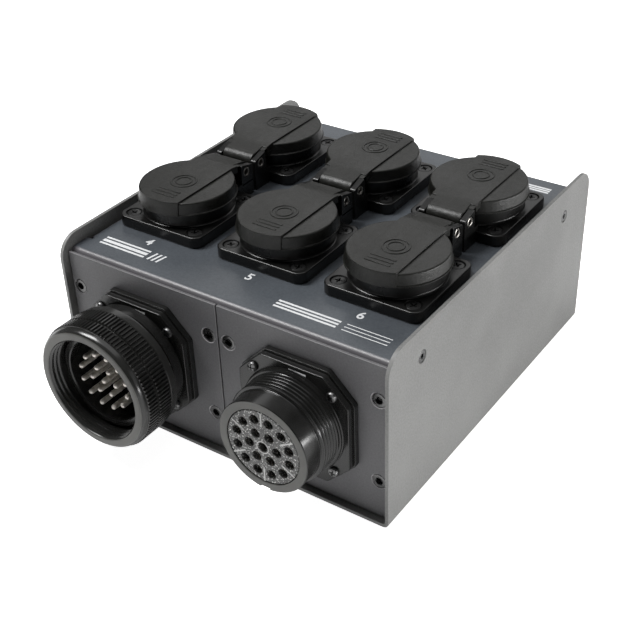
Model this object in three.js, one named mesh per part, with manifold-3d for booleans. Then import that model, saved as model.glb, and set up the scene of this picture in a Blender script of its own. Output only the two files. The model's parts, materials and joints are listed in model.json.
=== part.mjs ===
// Portable power distribution box: a sheet-metal case with six lidded mains sockets on top,
// a 19-pin inlet and a 19-pin through outlet on the front.
// Millimetres, +Z up, +X to the right along the front, +Y to the back.
// The origin is the middle of the flat underside.
import * as THREE from 'three';
import { mergeVertices } from 'three/addons/utils/BufferGeometryUtils.js';
import Module from 'manifold-3d';

const wasm = await Module();
wasm.setup();

// ---- driving dimensions ----

// Tray: the bottom and both side walls, bent from one sheet.
const WIDTH = 182;
const DEPTH = 196;
const WALL_HEIGHT = 91.3;
const TRAY_SHEET = 1.8;
const TRAY_BEND = 3;
const WALL_CORNER = 11;

// Cover: the top, front and rear, with side flanges inside the tray walls.
const COVER_TOP = 85;
const COVER_SHEET = 1.5;
const COVER_BEND = 3.2;
const COVER_FRONT = -92.3;
const COVER_REAR = 86;
const COVER_FLOOR = TRAY_SHEET + 0.2;
const COVER_FOOT = 14;
const COVER_BEND_GAP = 6;
const SIDE_FLANGE = 18;
const SIDE_GAP = 0.3;

// Front panels, one for each connector.
const PANEL_FRONT = -94.5;
const PANEL_SHEET = 2;
const PANEL_TOP = 84;
const PANEL_BOTTOM = TRAY_SHEET + 0.3;
const PANEL_INNER_X = 0.4;
const PANEL_OUTER_X = 88.5;
const WINDOW_HALF_WIDTH = 32;
const WINDOW_LOW = 13;
const WINDOW_HIGH = 75;

// Sockets: a 50 mm square flange with a 38 mm screw square, in two rows of three.
const COLUMN_PITCH = 59.6;
const FRONT_ROW_Y = -38.7;
const REAR_ROW_Y = 35.8;
const FLANGE_SIZE = 50;
const FLANGE_CORNER = 5;
const FLANGE_LOW = COVER_TOP + 0.1;
const FLANGE_TOP = 90.8;
const FLANGE_HOLE = 19;
const FLANGE_HOLE_R = 1.8;
const COVER_OPENING_R = 21.6;
const COLLAR_R = 21.6;
const COLLAR_TOP = 101;
const WELL_R = 19.5;
const WELL_FLOOR = 83.5;
const SOCKET_BACK_R = 20.9;
const SOCKET_BACK = 55;
const CONTACT_PITCH = 19;
const CONTACT_R = 2.6;
const CONTACT_BOTTOM = 68;

// Earth clip: a bent strip with one arm up each side of the well.
const CLIP_HALF_WIDTH = 3;
const CLIP_ARM_INNER = 17.6;
const CLIP_ARM_OUTER = 18.6;
const CLIP_BOTTOM = 66;
const CLIP_BRIDGE_TOP = 67;
const CLIP_TOP = 97;
const CLIP_GAP = 0.3;

// Lid hinge, measured from the middle of the socket.
const HINGE_Y = 31.2;
const HINGE_Z = 98.6;
const HINGE_BLOCK_Y = 36.2;
const HINGE_BLOCK_TOP = 93.4;
const EAR_OUTER_X = 12.3;
const EAR_INNER_X = 9.2;
const BARREL_HALF = 8.9;
const BARREL_R = 4.6;
const PIN_R = 2.5;
const PIN_BORE_R = 1.4;
const PIN_HOLE_R = 2.8;
const PIN_HALF = 12.4;
const SPRING_R = 3.65;
const SPRING_BORE_R = 2.8;
const SPRING_HALF = 3;
const SPRING_CHAMBER_R = 3.95;

// The top of an ear: upright at the back, then a crest that slopes up towards the lid.
const EAR_FRONT_Y = 26.8;
const EAR_CREST = [
  [HINGE_BLOCK_Y, 100.4], [35, 101.1], [31.4, 102.2], [28.2, 103.2], [27.4, 103.2],
  [EAR_FRONT_Y, 102.4],
];

// Lid.
const LID_TOP = 104.1;
const LID_UNDER = 101.9;
const SKIRT_LOW = 97.7;
const SKIRT_R = 24.2;
const SKIRT_INNER_R = 22.6;
const BAND_HALF = 11.65;
const BAND_TOP = 105;
const BAND_PROUD = 0.4;
const SKIRT_TAPER = 1;
const ARM_START_Y = 18;
const ARM_CREST_Y = 22;
const NOTCH_Y = 25;

// Connectors: heights run outwards from the face of the panels.
const CONNECTOR_X = 44.6;
const CONNECTOR_Z = 44;
const BACKING_HALF = 29.5;
const BACKING_CHAMFER = 13;
const BACKING_FRONT = 3;
const PLATE_HALF = 28.5;
const PLATE_CHAMFER = 12;
const PLATE_FRONT = 6.3;
const PLATE_HOLE = 20.5;
const PLATE_HOLE_R = 1.9;
const SHELL_BACK = -18;
const SHELL_BACK_R = 23;
const SHELL_HOLE_R = 23.6;
const CENTRE_GAP = 0.3;
const CONTACT_PIN_R = 1.35;
const PIN_TIP = 31;
const PIN_FACE = 13;
const INSERT_HOLE_R = 2.4;
const INSERT_FACE = 28.9;
const INSERT_HOLE_DEPTH = 12;
const INSERT_BACK = -6;

// Contacts: one in the middle, six on the inner circle and twelve on the outer circle.
const CONTACT_CIRCLES = [
  { count: 6, radius: 7.1, firstAngle: 0 },
  { count: 12, radius: 14, firstAngle: Math.PI / 12 },
];

// Inlet shell: a barrel behind the coupling ring and a sleeve inside it.
const INLET_BORE_R = 21;
const INLET_SLEEVE_R = 24.2;
const INLET_SLEEVE_END = 30.5;
const INLET_BARREL_R = 27;
const INLET_BARREL_END = 15;

// Coupling ring.
const RING_R = 32;
const RING_BORE_R = 26;
const RING_REAR = INLET_BARREL_END + 0.3;
const RING_REAR_R = 30.6;
const RING_NECK_R = INLET_SLEEVE_R + 0.4;
const RING_NECK_END = 21;
const GRIP_START = 20;
const GROOVE_START = 28.3;
const GROOVE_MIDDLE = 28.8;
const GROOVE_END = 29.3;
const GROOVE_DEPTH = 0.8;
const GRIP_END = 35.4;
const RING_FACE_R = 29.8;
const RING_FRONT = 39;

// Outlet shell: a collar, a thread and a plain nose with a keyway at the bottom.
const OUTLET_BORE_R = 18.9;
const OUTLET_COLLAR_R = 26;
const OUTLET_COLLAR_END = 8.5;
const OUTLET_THREAD_R = 24.4;
const OUTLET_THREAD_START = 9;
const OUTLET_THREAD_END = 18.8;
const OUTLET_NOSE_R = 23;
const OUTLET_NOSE_START = 19.4;
const OUTLET_FRONT = 29.2;
const KEYWAY_HALF_WIDTH = 2.6;
const KEYWAY_LENGTH = 5;
const KEYWAY_DEPTH = 1.5;

// Wiring and the earth stud inside the case.
const BUNDLE_R = 6;
const BUNDLE_SAG_Z = 30;
const BUNDLE_REACH_Y = 36;
const FEED_Z = 47;
const FEED_TRUNK_R = 3;
const FEED_BRANCH_R = 2;
const FEED_INSET_Y = 9;
const STUD_PLACE = [70, 55];
const STUD_NUT_R = 5;
const STUD_NUT_HEIGHT = 4;
const STUD_R = 3;
const STUD_TOP = 18;

// Countersunk screws: larger ones in the panels and the base, smaller ones in the sides.
const PANEL_HEAD_R = 3.4;
const SIDE_HEAD_R = 2.8;
const HEAD_DEPTH = 1.5;
const SHANK_R = 1.5;
const SCREW_LENGTH = 9;
const SCREW_GAP = 0.3;
const PANEL_SCREW_X = [5.6, 84];
const PANEL_SCREW_Z = [22, 66];
const SIDE_SCREW_Y = [-71, 68.8];
const SIDE_SCREW_Z = 76.7;
const BASE_SCREW_X = 70;
const BASE_SCREW_Y = [COVER_FRONT + COVER_FOOT / 2, COVER_REAR - COVER_FOOT / 2];

// Facets on round shapes.
const COARSE = 6;
const MEDIUM = 12;
const ROUND = 18;
const RING_FACETS = 24;

const X = new THREE.Vector3(1, 0, 0);
const Y = new THREE.Vector3(0, 1, 0);
const Z = new THREE.Vector3(0, 0, 1);
const LEFT = X.clone().negate();
const FRONT = Y.clone().negate();
const DOWN = Z.clone().negate();

// ---- solids ----

// A closed solid from a geometry, with shared corners merged and empty triangles dropped.
function solid(geometry) {
  const bare = geometry.clone();
  bare.deleteAttribute('normal');
  bare.deleteAttribute('uv');
  const merged = mergeVertices(bare, 1e-4);
  const corners = merged.index.array;
  const kept = [];
  for (let i = 0; i < corners.length; i += 3) {
    const [a, b, c] = corners.slice(i, i + 3);
    if (a !== b && b !== c && c !== a) kept.push(a, b, c);
  }
  const vertProperties = new Float32Array(merged.attributes.position.array);
  const triVerts = new Uint32Array(kept);
  return new wasm.Manifold(new wasm.Mesh({ numProp: 3, vertProperties, triVerts }));
}

function join(first, ...others) {
  return others.reduce((sum, other) => sum.add(other), first);
}

function cut(first, ...others) {
  return others.reduce((rest, other) => rest.subtract(other), first);
}

// A named mesh of its own material from a closed solid.
function piece(name, shape, [color, roughness, metalness]) {
  const { vertProperties, triVerts } = shape.getMesh();
  const geometry = new THREE.BufferGeometry();
  geometry.setAttribute('position', new THREE.BufferAttribute(vertProperties, 3));
  geometry.setIndex(new THREE.BufferAttribute(triVerts, 1));
  geometry.computeVertexNormals();
  const mesh = new THREE.Mesh(
    geometry,
    new THREE.MeshStandardMaterial({ color, roughness, metalness }),
  );
  mesh.name = name;
  return mesh;
}

// A box between its lowest and its highest corner.
function block(low, high) {
  const size = high.map((value, i) => value - low[i]);
  const middle = high.map((value, i) => (value + low[i]) / 2);
  return solid(new THREE.BoxGeometry(...size).translate(...middle));
}

// A solid turned about an axis through a point. The profile holds [radius, height] pairs and
// runs anticlockwise, with the radius to the right and the height up.
function turned(profile, facets, axis, origin) {
  const outline = profile.map(([radius, height]) => new THREE.Vector2(radius, height));
  const geometry = new THREE.LatheGeometry(outline, facets);
  geometry.applyQuaternion(new THREE.Quaternion().setFromUnitVectors(Y, axis));
  return solid(geometry.translate(...origin));
}

// A round bar along an axis, between two heights measured from a point.
function rod(radius, low, high, facets, axis, origin) {
  return turned([[0, low], [radius, low], [radius, high], [0, high]], facets, axis, origin);
}

// A flat shape drawn in X and Y, raised from one height to another.
function raised(shape, low, high, curveSegments = 3) {
  const options = { depth: high - low, bevelEnabled: false, curveSegments };
  return solid(new THREE.ExtrudeGeometry(shape, options).translate(0, 0, low));
}

// A shape drawn in X and Z, run along Y.
function alongY(shape, low, high, curveSegments = 3) {
  const options = { depth: high - low, bevelEnabled: false, curveSegments };
  const geometry = new THREE.ExtrudeGeometry(shape, options).rotateX(Math.PI / 2);
  return solid(geometry.translate(0, high, 0));
}

// A shape drawn in Y and Z, run along X.
function alongX(shape, low, high, curveSegments = 4) {
  const options = { depth: high - low, bevelEnabled: false, curveSegments };
  const turn = new THREE.Matrix4().makeBasis(Y, Z, X);
  const geometry = new THREE.ExtrudeGeometry(shape, options).applyMatrix4(turn);
  return solid(geometry.translate(low, 0, 0));
}

function polygon(points) {
  return new THREE.Shape(points.map(([u, v]) => new THREE.Vector2(u, v)));
}

// A square centred on the origin with round corners.
function roundSquare(size, corner) {
  const half = size / 2;
  const inner = half - corner;
  const shape = new THREE.Shape();
  shape.moveTo(-inner, -half);
  shape.absarc(inner, -inner, corner, -Math.PI / 2, 0);
  shape.absarc(inner, inner, corner, 0, Math.PI / 2);
  shape.absarc(-inner, inner, corner, Math.PI / 2, Math.PI);
  shape.absarc(-inner, -inner, corner, Math.PI, 1.5 * Math.PI);
  return shape;
}

// A square centred on a connector's axis, in X and Z, with its corners cut off.
function chamferedSquare(half, chamfer, centreX) {
  const inner = half - chamfer;
  const corners = [
    [-inner, -half], [inner, -half], [half, -inner], [half, inner],
    [inner, half], [-inner, half], [-half, inner], [-half, -inner],
  ];
  return polygon(corners.map(([x, z]) => [x + centreX, z + CONNECTOR_Z]));
}

// ---- finishes: colour, roughness, metalness ----

const SLATE_PAINT = [0x33383f, 0.5, 0.1];
const GRAPHITE_PAINT = [0x3a3c40, 0.5, 0.1];
const SOCKET_PLASTIC = [0x1a1b1a, 0.45, 0];
const BLACK_ANODISED = [0x151617, 0.35, 0.6];
const BLACK_INSERT = [0x101011, 0.6, 0];
const GREY_INSERT = [0x8a8a88, 0.6, 0];
const BLACK_SCREW = [0x1d1d1f, 0.4, 0.6];
const BRIGHT_STEEL = [0xb8b8ba, 0.3, 1];
const BRASS = [0xb08d4a, 0.35, 1];
const GASKET_RUBBER = [0x1c1c1d, 0.8, 0];
const CABLE_RUBBER = [0x202022, 0.7, 0];

// ---- screws ----

function countersunkScrew(name, { face, outwards, headR }) {
  const profile = [
    [0, -SCREW_LENGTH], [SHANK_R, -SCREW_LENGTH], [SHANK_R, -HEAD_DEPTH],
    [headR, -0.1], [headR, 0], [0, 0],
  ];
  return piece(name, turned(profile, COARSE, outwards, face), BLACK_SCREW);
}

// The hole that such a screw sits in, sunk from the face.
function screwHole({ face, outwards, headR }) {
  const shank = SHANK_R + SCREW_GAP;
  const head = headR + SCREW_GAP;
  const profile = [
    [0, -SCREW_LENGTH], [shank, -SCREW_LENGTH], [shank, -HEAD_DEPTH - 0.1],
    [head, -0.1], [head, 1], [0, 1],
  ];
  return turned(profile, COARSE, outwards, face);
}

// The places of the screws: the middle of each head, its direction and its radius.
function panelScrews(side) {
  return PANEL_SCREW_Z.flatMap((z) => PANEL_SCREW_X.map(
    (x) => ({ face: [side * x, PANEL_FRONT, z], outwards: FRONT, headR: PANEL_HEAD_R }),
  ));
}

function sideScrews(side) {
  const outwards = side > 0 ? X : LEFT;
  return SIDE_SCREW_Y.map(
    (y) => ({ face: [side * WIDTH / 2, y, SIDE_SCREW_Z], outwards, headR: SIDE_HEAD_R }),
  );
}

function baseScrews() {
  return BASE_SCREW_Y.flatMap((y) => [-BASE_SCREW_X, BASE_SCREW_X].map(
    (x) => ({ face: [x, y, 0], outwards: DOWN, headR: PANEL_HEAD_R }),
  ));
}

// ---- case ----

function trayProfile() {
  const half = WIDTH / 2;
  const inner = half - TRAY_SHEET;
  const bendX = half - TRAY_BEND;
  const innerBend = TRAY_BEND - TRAY_SHEET;
  const shape = new THREE.Shape();
  shape.moveTo(-half, WALL_HEIGHT);
  shape.lineTo(-half, WALL_HEIGHT / 2);
  shape.absarc(-bendX, TRAY_BEND, TRAY_BEND, Math.PI, 1.5 * Math.PI);
  shape.absarc(bendX, TRAY_BEND, TRAY_BEND, -Math.PI / 2, 0);
  shape.lineTo(half, WALL_HEIGHT);
  shape.lineTo(inner, WALL_HEIGHT);
  shape.absarc(bendX, TRAY_BEND, innerBend, 0, -Math.PI / 2, true);
  shape.absarc(-bendX, TRAY_BEND, innerBend, -Math.PI / 2, -Math.PI, true);
  shape.lineTo(-inner, WALL_HEIGHT);
  return shape;
}

// The side view of the walls, with round corners at the top front and the top rear.
function wallOutline() {
  const half = DEPTH / 2;
  const shape = new THREE.Shape();
  shape.moveTo(-half, -1);
  shape.lineTo(half, -1);
  shape.absarc(half - WALL_CORNER, WALL_HEIGHT - WALL_CORNER, WALL_CORNER, 0, Math.PI / 2);
  shape.absarc(WALL_CORNER - half, WALL_HEIGHT - WALL_CORNER, WALL_CORNER, Math.PI / 2, Math.PI);
  return shape;
}

function baseTray() {
  const bent = alongY(trayProfile(), -DEPTH / 2, DEPTH / 2);
  const outline = alongX(wallOutline(), -WIDTH, WIDTH, 5);
  const screws = [...sideScrews(1), ...sideScrews(-1), ...baseScrews()];
  const shape = cut(bent.intersect(outline), ...screws.map(screwHole));
  return piece('base_tray', shape, GRAPHITE_PAINT);
}

function coverProfile() {
  const bendZ = COVER_TOP - COVER_BEND;
  const innerBend = COVER_BEND - COVER_SHEET;
  const frontBend = COVER_FRONT + COVER_BEND;
  const rearBend = COVER_REAR - COVER_BEND;
  const footTop = COVER_FLOOR + COVER_SHEET;
  const shape = new THREE.Shape();
  shape.moveTo(COVER_FRONT, COVER_FLOOR);
  shape.lineTo(COVER_FRONT, bendZ / 2);
  shape.absarc(frontBend, bendZ, COVER_BEND, Math.PI, Math.PI / 2, true);
  shape.absarc(rearBend, bendZ, COVER_BEND, Math.PI / 2, 0, true);
  shape.lineTo(COVER_REAR, COVER_FLOOR);
  shape.lineTo(COVER_REAR - COVER_FOOT, COVER_FLOOR);
  shape.lineTo(COVER_REAR - COVER_FOOT, footTop);
  shape.lineTo(COVER_REAR - COVER_SHEET, footTop);
  shape.absarc(rearBend, bendZ, innerBend, 0, Math.PI / 2);
  shape.absarc(frontBend, bendZ, innerBend, Math.PI / 2, Math.PI);
  shape.lineTo(COVER_FRONT + COVER_SHEET, footTop);
  shape.lineTo(COVER_FRONT + COVER_FOOT, footTop);
  shape.lineTo(COVER_FRONT + COVER_FOOT, COVER_FLOOR);
  return shape;
}

function socketCentres() {
  const columns = [-COLUMN_PITCH, 0, COLUMN_PITCH];
  const rear = columns.map((x) => ({ x, y: REAR_ROW_Y, turn: Math.PI }));
  const front = columns.map((x) => ({ x, y: FRONT_ROW_Y, turn: 0 }));
  return [...rear, ...front];
}

// The cut-out and the four screw holes under one socket.
function socketOpening({ x, y }) {
  const low = COVER_TOP - 5;
  const high = COVER_TOP + 5;
  const opening = rod(COVER_OPENING_R, low, high, ROUND, Z, [x, y, 0]);
  const holes = [-FLANGE_HOLE, FLANGE_HOLE].flatMap((dx) => [-FLANGE_HOLE, FLANGE_HOLE].map(
    (dy) => rod(FLANGE_HOLE_R, low, high, COARSE, Z, [x + dx, y + dy, 0]),
  ));
  return join(opening, ...holes);
}

function topCover() {
  const half = WIDTH / 2 - TRAY_SHEET - SIDE_GAP;
  const bent = alongX(coverProfile(), -half, half, 3);
  const flangeFront = COVER_FRONT + COVER_BEND_GAP;
  const flangeRear = COVER_REAR - COVER_BEND_GAP;
  const flangeLow = COVER_TOP - SIDE_FLANGE;
  const flangeHigh = COVER_TOP - COVER_SHEET / 2;
  const flanges = [-half, half - COVER_SHEET].map((x) => block(
    [x, flangeFront, flangeLow],
    [x + COVER_SHEET, flangeRear, flangeHigh],
  ));
  const windows = [-CONNECTOR_X, CONNECTOR_X].map((x) => block(
    [x - WINDOW_HALF_WIDTH, COVER_FRONT - 1, WINDOW_LOW],
    [x + WINDOW_HALF_WIDTH, COVER_FRONT + 4, WINDOW_HIGH],
  ));
  const holes = [
    ...sideScrews(1), ...sideScrews(-1), ...baseScrews(), ...panelScrews(-1), ...panelScrews(1),
  ].map(screwHole);
  const bendRelief = [-half - 1, half - 1].map((x) => block(
    [x, COVER_FRONT - 1, 0],
    [x + 2, COVER_REAR + 1, TRAY_BEND + 0.3],
  ));
  const openings = socketCentres().map(socketOpening);
  const shape = cut(join(bent, ...flanges), ...windows, ...bendRelief, ...openings, ...holes);
  return piece('top_cover', shape, SLATE_PAINT);
}

function frontPanel(name, side) {
  const xs = [side * PANEL_INNER_X, side * PANEL_OUTER_X].sort((a, b) => a - b);
  const sheet = block(
    [xs[0], PANEL_FRONT, PANEL_BOTTOM],
    [xs[1], PANEL_FRONT + PANEL_SHEET, PANEL_TOP],
  );
  const centre = [side * CONNECTOR_X, PANEL_FRONT, CONNECTOR_Z];
  const opening = rod(SHELL_HOLE_R, -5, 5, ROUND, FRONT, centre);
  const corners = plateHoles(side * CONNECTOR_X, -5, 5);
  const holes = panelScrews(side).map(screwHole);
  return piece(name, cut(sheet, opening, ...corners, ...holes), GRAPHITE_PAINT);
}

// ---- sockets, drawn about their own middle with the hinge towards +Y ----

function earProfile() {
  const low = HINGE_BLOCK_TOP - 1;
  return polygon([[HINGE_BLOCK_Y, low], ...EAR_CREST, [EAR_FRONT_Y, low]]);
}

// The side view of the earth clip, or of the slot it sits in when grown by a gap.
function clipProfile(grow) {
  const outer = CLIP_ARM_OUTER + grow;
  const inner = CLIP_ARM_INNER - grow;
  const low = CLIP_BOTTOM - grow;
  const bridge = CLIP_BRIDGE_TOP + grow;
  const top = CLIP_TOP + grow;
  return polygon([
    [-outer, low], [outer, low], [outer, top], [inner, top],
    [inner, bridge], [-inner, bridge], [-inner, top], [-outer, top],
  ]);
}

function socketBody() {
  const hinge = [0, HINGE_Y, HINGE_Z];
  const flange = raised(roundSquare(FLANGE_SIZE, FLANGE_CORNER), FLANGE_LOW, FLANGE_TOP);
  const hingeBlock = block(
    [-EAR_OUTER_X, FLANGE_SIZE / 2 - 1, FLANGE_LOW],
    [EAR_OUTER_X, HINGE_BLOCK_Y, HINGE_BLOCK_TOP],
  );
  const ears = [-EAR_OUTER_X, EAR_INNER_X].map(
    (x) => alongX(earProfile(), x, x + EAR_OUTER_X - EAR_INNER_X),
  );
  const barrel = turned(
    [
      [0, SOCKET_BACK], [SOCKET_BACK_R, SOCKET_BACK], [SOCKET_BACK_R, FLANGE_LOW + 1],
      [COLLAR_R, FLANGE_LOW + 1], [COLLAR_R, COLLAR_TOP], [0, COLLAR_TOP],
    ],
    ROUND, Z, [0, 0, 0],
  );
  const well = rod(WELL_R, WELL_FLOOR, COLLAR_TOP + 1, ROUND, Z, [0, 0, 0]);
  const contacts = [-CONTACT_PITCH / 2, CONTACT_PITCH / 2].map(
    (x) => rod(CONTACT_R, CONTACT_BOTTOM, WELL_FLOOR + 1, COARSE, Z, [x, 0, 0]),
  );
  const slotHalf = CLIP_HALF_WIDTH + CLIP_GAP;
  const clipSlot = alongX(clipProfile(CLIP_GAP), -slotHalf, slotHalf);
  const screwHoles = [-FLANGE_HOLE, FLANGE_HOLE].flatMap((x) => [-FLANGE_HOLE, FLANGE_HOLE].map(
    (y) => rod(FLANGE_HOLE_R, FLANGE_LOW - 1, FLANGE_TOP + 1, COARSE, Z, [x, y, 0]),
  ));
  const pinHole = rod(PIN_HOLE_R, -EAR_OUTER_X - 1, EAR_OUTER_X + 1, MEDIUM, X, hinge);
  const shape = join(flange, hingeBlock, ...ears, barrel);
  return cut(shape, well, ...contacts, clipSlot, ...screwHoles, pinHole);
}

// The raised band over the top of the lid, which also stands out of its skirt.
function lidBand() {
  const inner = SKIRT_INNER_R + 0.2;
  const profile = [
    [0, LID_UNDER + 1], [inner, LID_UNDER + 1], [inner, SKIRT_LOW],
    [SKIRT_R + BAND_PROUD, SKIRT_LOW], [SKIRT_R - SKIRT_TAPER + BAND_PROUD, BAND_TOP],
    [0, BAND_TOP],
  ];
  const strip = block([-BAND_HALF, -30, SKIRT_LOW - 1], [BAND_HALF, 20, BAND_TOP + 1]);
  return turned(profile, ROUND, Z, [0, 0, 0]).intersect(strip);
}

function lidArm() {
  const outline = polygon([
    [ARM_START_Y, LID_UNDER], [HINGE_Y - 4, HINGE_Z + 1.5], [HINGE_Y, HINGE_Z],
    [HINGE_Y, HINGE_Z + BARREL_R], [ARM_CREST_Y, BAND_TOP], [ARM_START_Y, BAND_TOP],
  ]);
  return alongX(outline, -BAND_HALF, BAND_HALF);
}

function socketLid() {
  const hinge = [0, HINGE_Y, HINGE_Z];
  const cap = turned(
    [
      [0, LID_UNDER], [SKIRT_INNER_R, LID_UNDER], [SKIRT_INNER_R, SKIRT_LOW],
      [SKIRT_R, SKIRT_LOW], [SKIRT_R - SKIRT_TAPER, LID_TOP], [0, LID_TOP],
    ],
    ROUND, Z, [0, 0, 0],
  );
  const barrel = rod(BARREL_R, -BARREL_HALF, BARREL_HALF, MEDIUM, X, hinge);
  const notches = [-EAR_OUTER_X, BARREL_HALF].map((x) => block(
    [x, NOTCH_Y, SKIRT_LOW],
    [x + EAR_OUTER_X - BARREL_HALF, HINGE_BLOCK_Y + 1, BAND_TOP + 1],
  ));
  const chamberHalf = SPRING_HALF + 0.3;
  const chamber = join(
    rod(SPRING_CHAMBER_R, -chamberHalf, chamberHalf, MEDIUM, X, hinge),
    block(
      [-chamberHalf, HINGE_Y - SPRING_CHAMBER_R, HINGE_Z - BARREL_R - 1],
      [chamberHalf, HINGE_Y + SPRING_CHAMBER_R, HINGE_Z],
    ),
  );
  const pinHole = rod(PIN_HOLE_R, -BARREL_HALF - 1, BARREL_HALF + 1, MEDIUM, X, hinge);
  return cut(join(cap, lidBand(), lidArm(), barrel), ...notches, chamber, pinHole);
}

// A ring or tube about an axis, between two heights.
function tube(inner, outer, low, high, facets, axis, origin) {
  const profile = [[inner, low], [outer, low], [outer, high], [inner, high], [inner, low]];
  return turned(profile, facets, axis, origin);
}

const SOCKET_BODY = socketBody();
const SOCKET_LID = socketLid();
const HINGE_PIN = tube(
  PIN_BORE_R, PIN_R, -PIN_HALF, PIN_HALF, MEDIUM, X, [0, HINGE_Y, HINGE_Z],
);
const LID_SPRING = tube(
  SPRING_BORE_R, SPRING_R, -SPRING_HALF, SPRING_HALF, MEDIUM, X, [0, HINGE_Y, HINGE_Z],
);
const EARTH_CLIP = alongX(clipProfile(0), -CLIP_HALF_WIDTH, CLIP_HALF_WIDTH);

function socket(number, { x, y, turn }) {
  const group = new THREE.Group();
  group.position.set(x, y, 0);
  group.rotation.z = turn;
  group.add(
    piece(`socket_${number}_body`, SOCKET_BODY, SOCKET_PLASTIC),
    piece(`socket_${number}_lid`, SOCKET_LID, SOCKET_PLASTIC),
    piece(`socket_${number}_hinge_pin`, HINGE_PIN, BRIGHT_STEEL),
    piece(`socket_${number}_lid_spring`, LID_SPRING, BRIGHT_STEEL),
    piece(`socket_${number}_earth_clip`, EARTH_CLIP, BRIGHT_STEEL),
  );
  return group;
}

// ---- connectors, turned about an axis that points out of the front ----

function axisPoint(x) {
  return [x, PANEL_FRONT, CONNECTOR_Z];
}

function plateHoles(x, low, high) {
  return [-PLATE_HOLE, PLATE_HOLE].flatMap((dx) => [-PLATE_HOLE, PLATE_HOLE].map(
    (dz) => rod(PLATE_HOLE_R, low, high, COARSE, FRONT, [x + dx, PANEL_FRONT, CONNECTOR_Z + dz]),
  ));
}

// A chamfered plate between two heights in front of the panel.
function frontPlate(half, chamfer, x, low, high) {
  return alongY(chamferedSquare(half, chamfer, x), PANEL_FRONT - high, PANEL_FRONT - low);
}

function backingPlate(name, x) {
  const plate = frontPlate(BACKING_HALF, BACKING_CHAMFER, x, 0.1, BACKING_FRONT);
  const opening = rod(SHELL_HOLE_R, -1, BACKING_FRONT + 1, ROUND, FRONT, axisPoint(x));
  const shape = cut(plate, opening, ...plateHoles(x, -1, BACKING_FRONT + 1));
  return piece(name, shape, GASKET_RUBBER);
}

function flangedShell(x, profile, boreR, boreEnd) {
  const plate = frontPlate(PLATE_HALF, PLATE_CHAMFER, x, BACKING_FRONT + 0.1, PLATE_FRONT);
  const body = turned(profile, RING_FACETS, FRONT, axisPoint(x));
  const bore = rod(boreR, SHELL_BACK - 1, boreEnd + 1, RING_FACETS, FRONT, axisPoint(x));
  return cut(join(plate, body), bore, ...plateHoles(x, BACKING_FRONT - 1, PLATE_FRONT + 1));
}

function inletShell() {
  const profile = [
    [0, SHELL_BACK], [SHELL_BACK_R, SHELL_BACK], [SHELL_BACK_R, BACKING_FRONT + 1],
    [INLET_BARREL_R, BACKING_FRONT + 1], [INLET_BARREL_R, INLET_BARREL_END],
    [INLET_SLEEVE_R, INLET_BARREL_END], [INLET_SLEEVE_R, INLET_SLEEVE_END],
    [0, INLET_SLEEVE_END],
  ];
  const shape = flangedShell(-CONNECTOR_X, profile, INLET_BORE_R, INLET_SLEEVE_END);
  return piece('inlet_shell', shape, BLACK_ANODISED);
}

// The turning ring of the inlet, with a groove between its two grip bands.
function couplingRing() {
  const profile = [
    [RING_NECK_R, RING_REAR], [RING_REAR_R, RING_REAR], [RING_R, GRIP_START],
    [RING_R, GROOVE_START], [RING_R - GROOVE_DEPTH, GROOVE_MIDDLE], [RING_R, GROOVE_END],
    [RING_R, GRIP_END], [RING_FACE_R, RING_FRONT], [RING_BORE_R, RING_FRONT],
    [RING_BORE_R, RING_NECK_END], [RING_NECK_R, RING_NECK_END], [RING_NECK_R, RING_REAR],
  ];
  const shape = turned(profile, RING_FACETS, FRONT, axisPoint(-CONNECTOR_X));
  return piece('inlet_coupling_ring', shape, BLACK_ANODISED);
}

// The middles of the 19 contacts of a connector.
function contactCentres(x) {
  const centres = [[x, PANEL_FRONT, CONNECTOR_Z]];
  for (const { count, radius, firstAngle } of CONTACT_CIRCLES) {
    for (let i = 0; i < count; i += 1) {
      const angle = firstAngle + i * 2 * Math.PI / count;
      centres.push([
        x + radius * Math.cos(angle),
        PANEL_FRONT,
        CONNECTOR_Z + radius * Math.sin(angle),
      ]);
    }
  }
  return centres;
}

function inletPins() {
  const radius = INLET_BORE_R - CENTRE_GAP;
  const insert = rod(radius, INSERT_BACK, PIN_FACE, RING_FACETS, FRONT, axisPoint(-CONNECTOR_X));
  const profile = [
    [0, PIN_FACE - 1], [CONTACT_PIN_R, PIN_FACE - 1], [CONTACT_PIN_R, PIN_TIP - 1],
    [0, PIN_TIP],
  ];
  const pins = contactCentres(-CONNECTOR_X).map((c) => turned(profile, COARSE, FRONT, c));
  return piece('inlet_pin_insert', join(insert, ...pins), BLACK_INSERT);
}

function outletShell() {
  const profile = [
    [0, SHELL_BACK], [SHELL_BACK_R, SHELL_BACK], [SHELL_BACK_R, BACKING_FRONT + 1],
    [OUTLET_COLLAR_R, BACKING_FRONT + 1], [OUTLET_COLLAR_R, OUTLET_COLLAR_END],
    [OUTLET_THREAD_R, OUTLET_THREAD_START], [OUTLET_THREAD_R, OUTLET_THREAD_END],
    [OUTLET_NOSE_R, OUTLET_NOSE_START], [OUTLET_NOSE_R, OUTLET_FRONT], [0, OUTLET_FRONT],
  ];
  const shell = flangedShell(CONNECTOR_X, profile, OUTLET_BORE_R, OUTLET_FRONT);
  const front = PANEL_FRONT - OUTLET_FRONT;
  const bottom = CONNECTOR_Z - OUTLET_NOSE_R;
  const keyway = block(
    [CONNECTOR_X - KEYWAY_HALF_WIDTH, front - 1, bottom - 1],
    [CONNECTOR_X + KEYWAY_HALF_WIDTH, front + KEYWAY_LENGTH, bottom + KEYWAY_DEPTH],
  );
  return piece('outlet_shell', cut(shell, keyway), BLACK_ANODISED);
}

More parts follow.
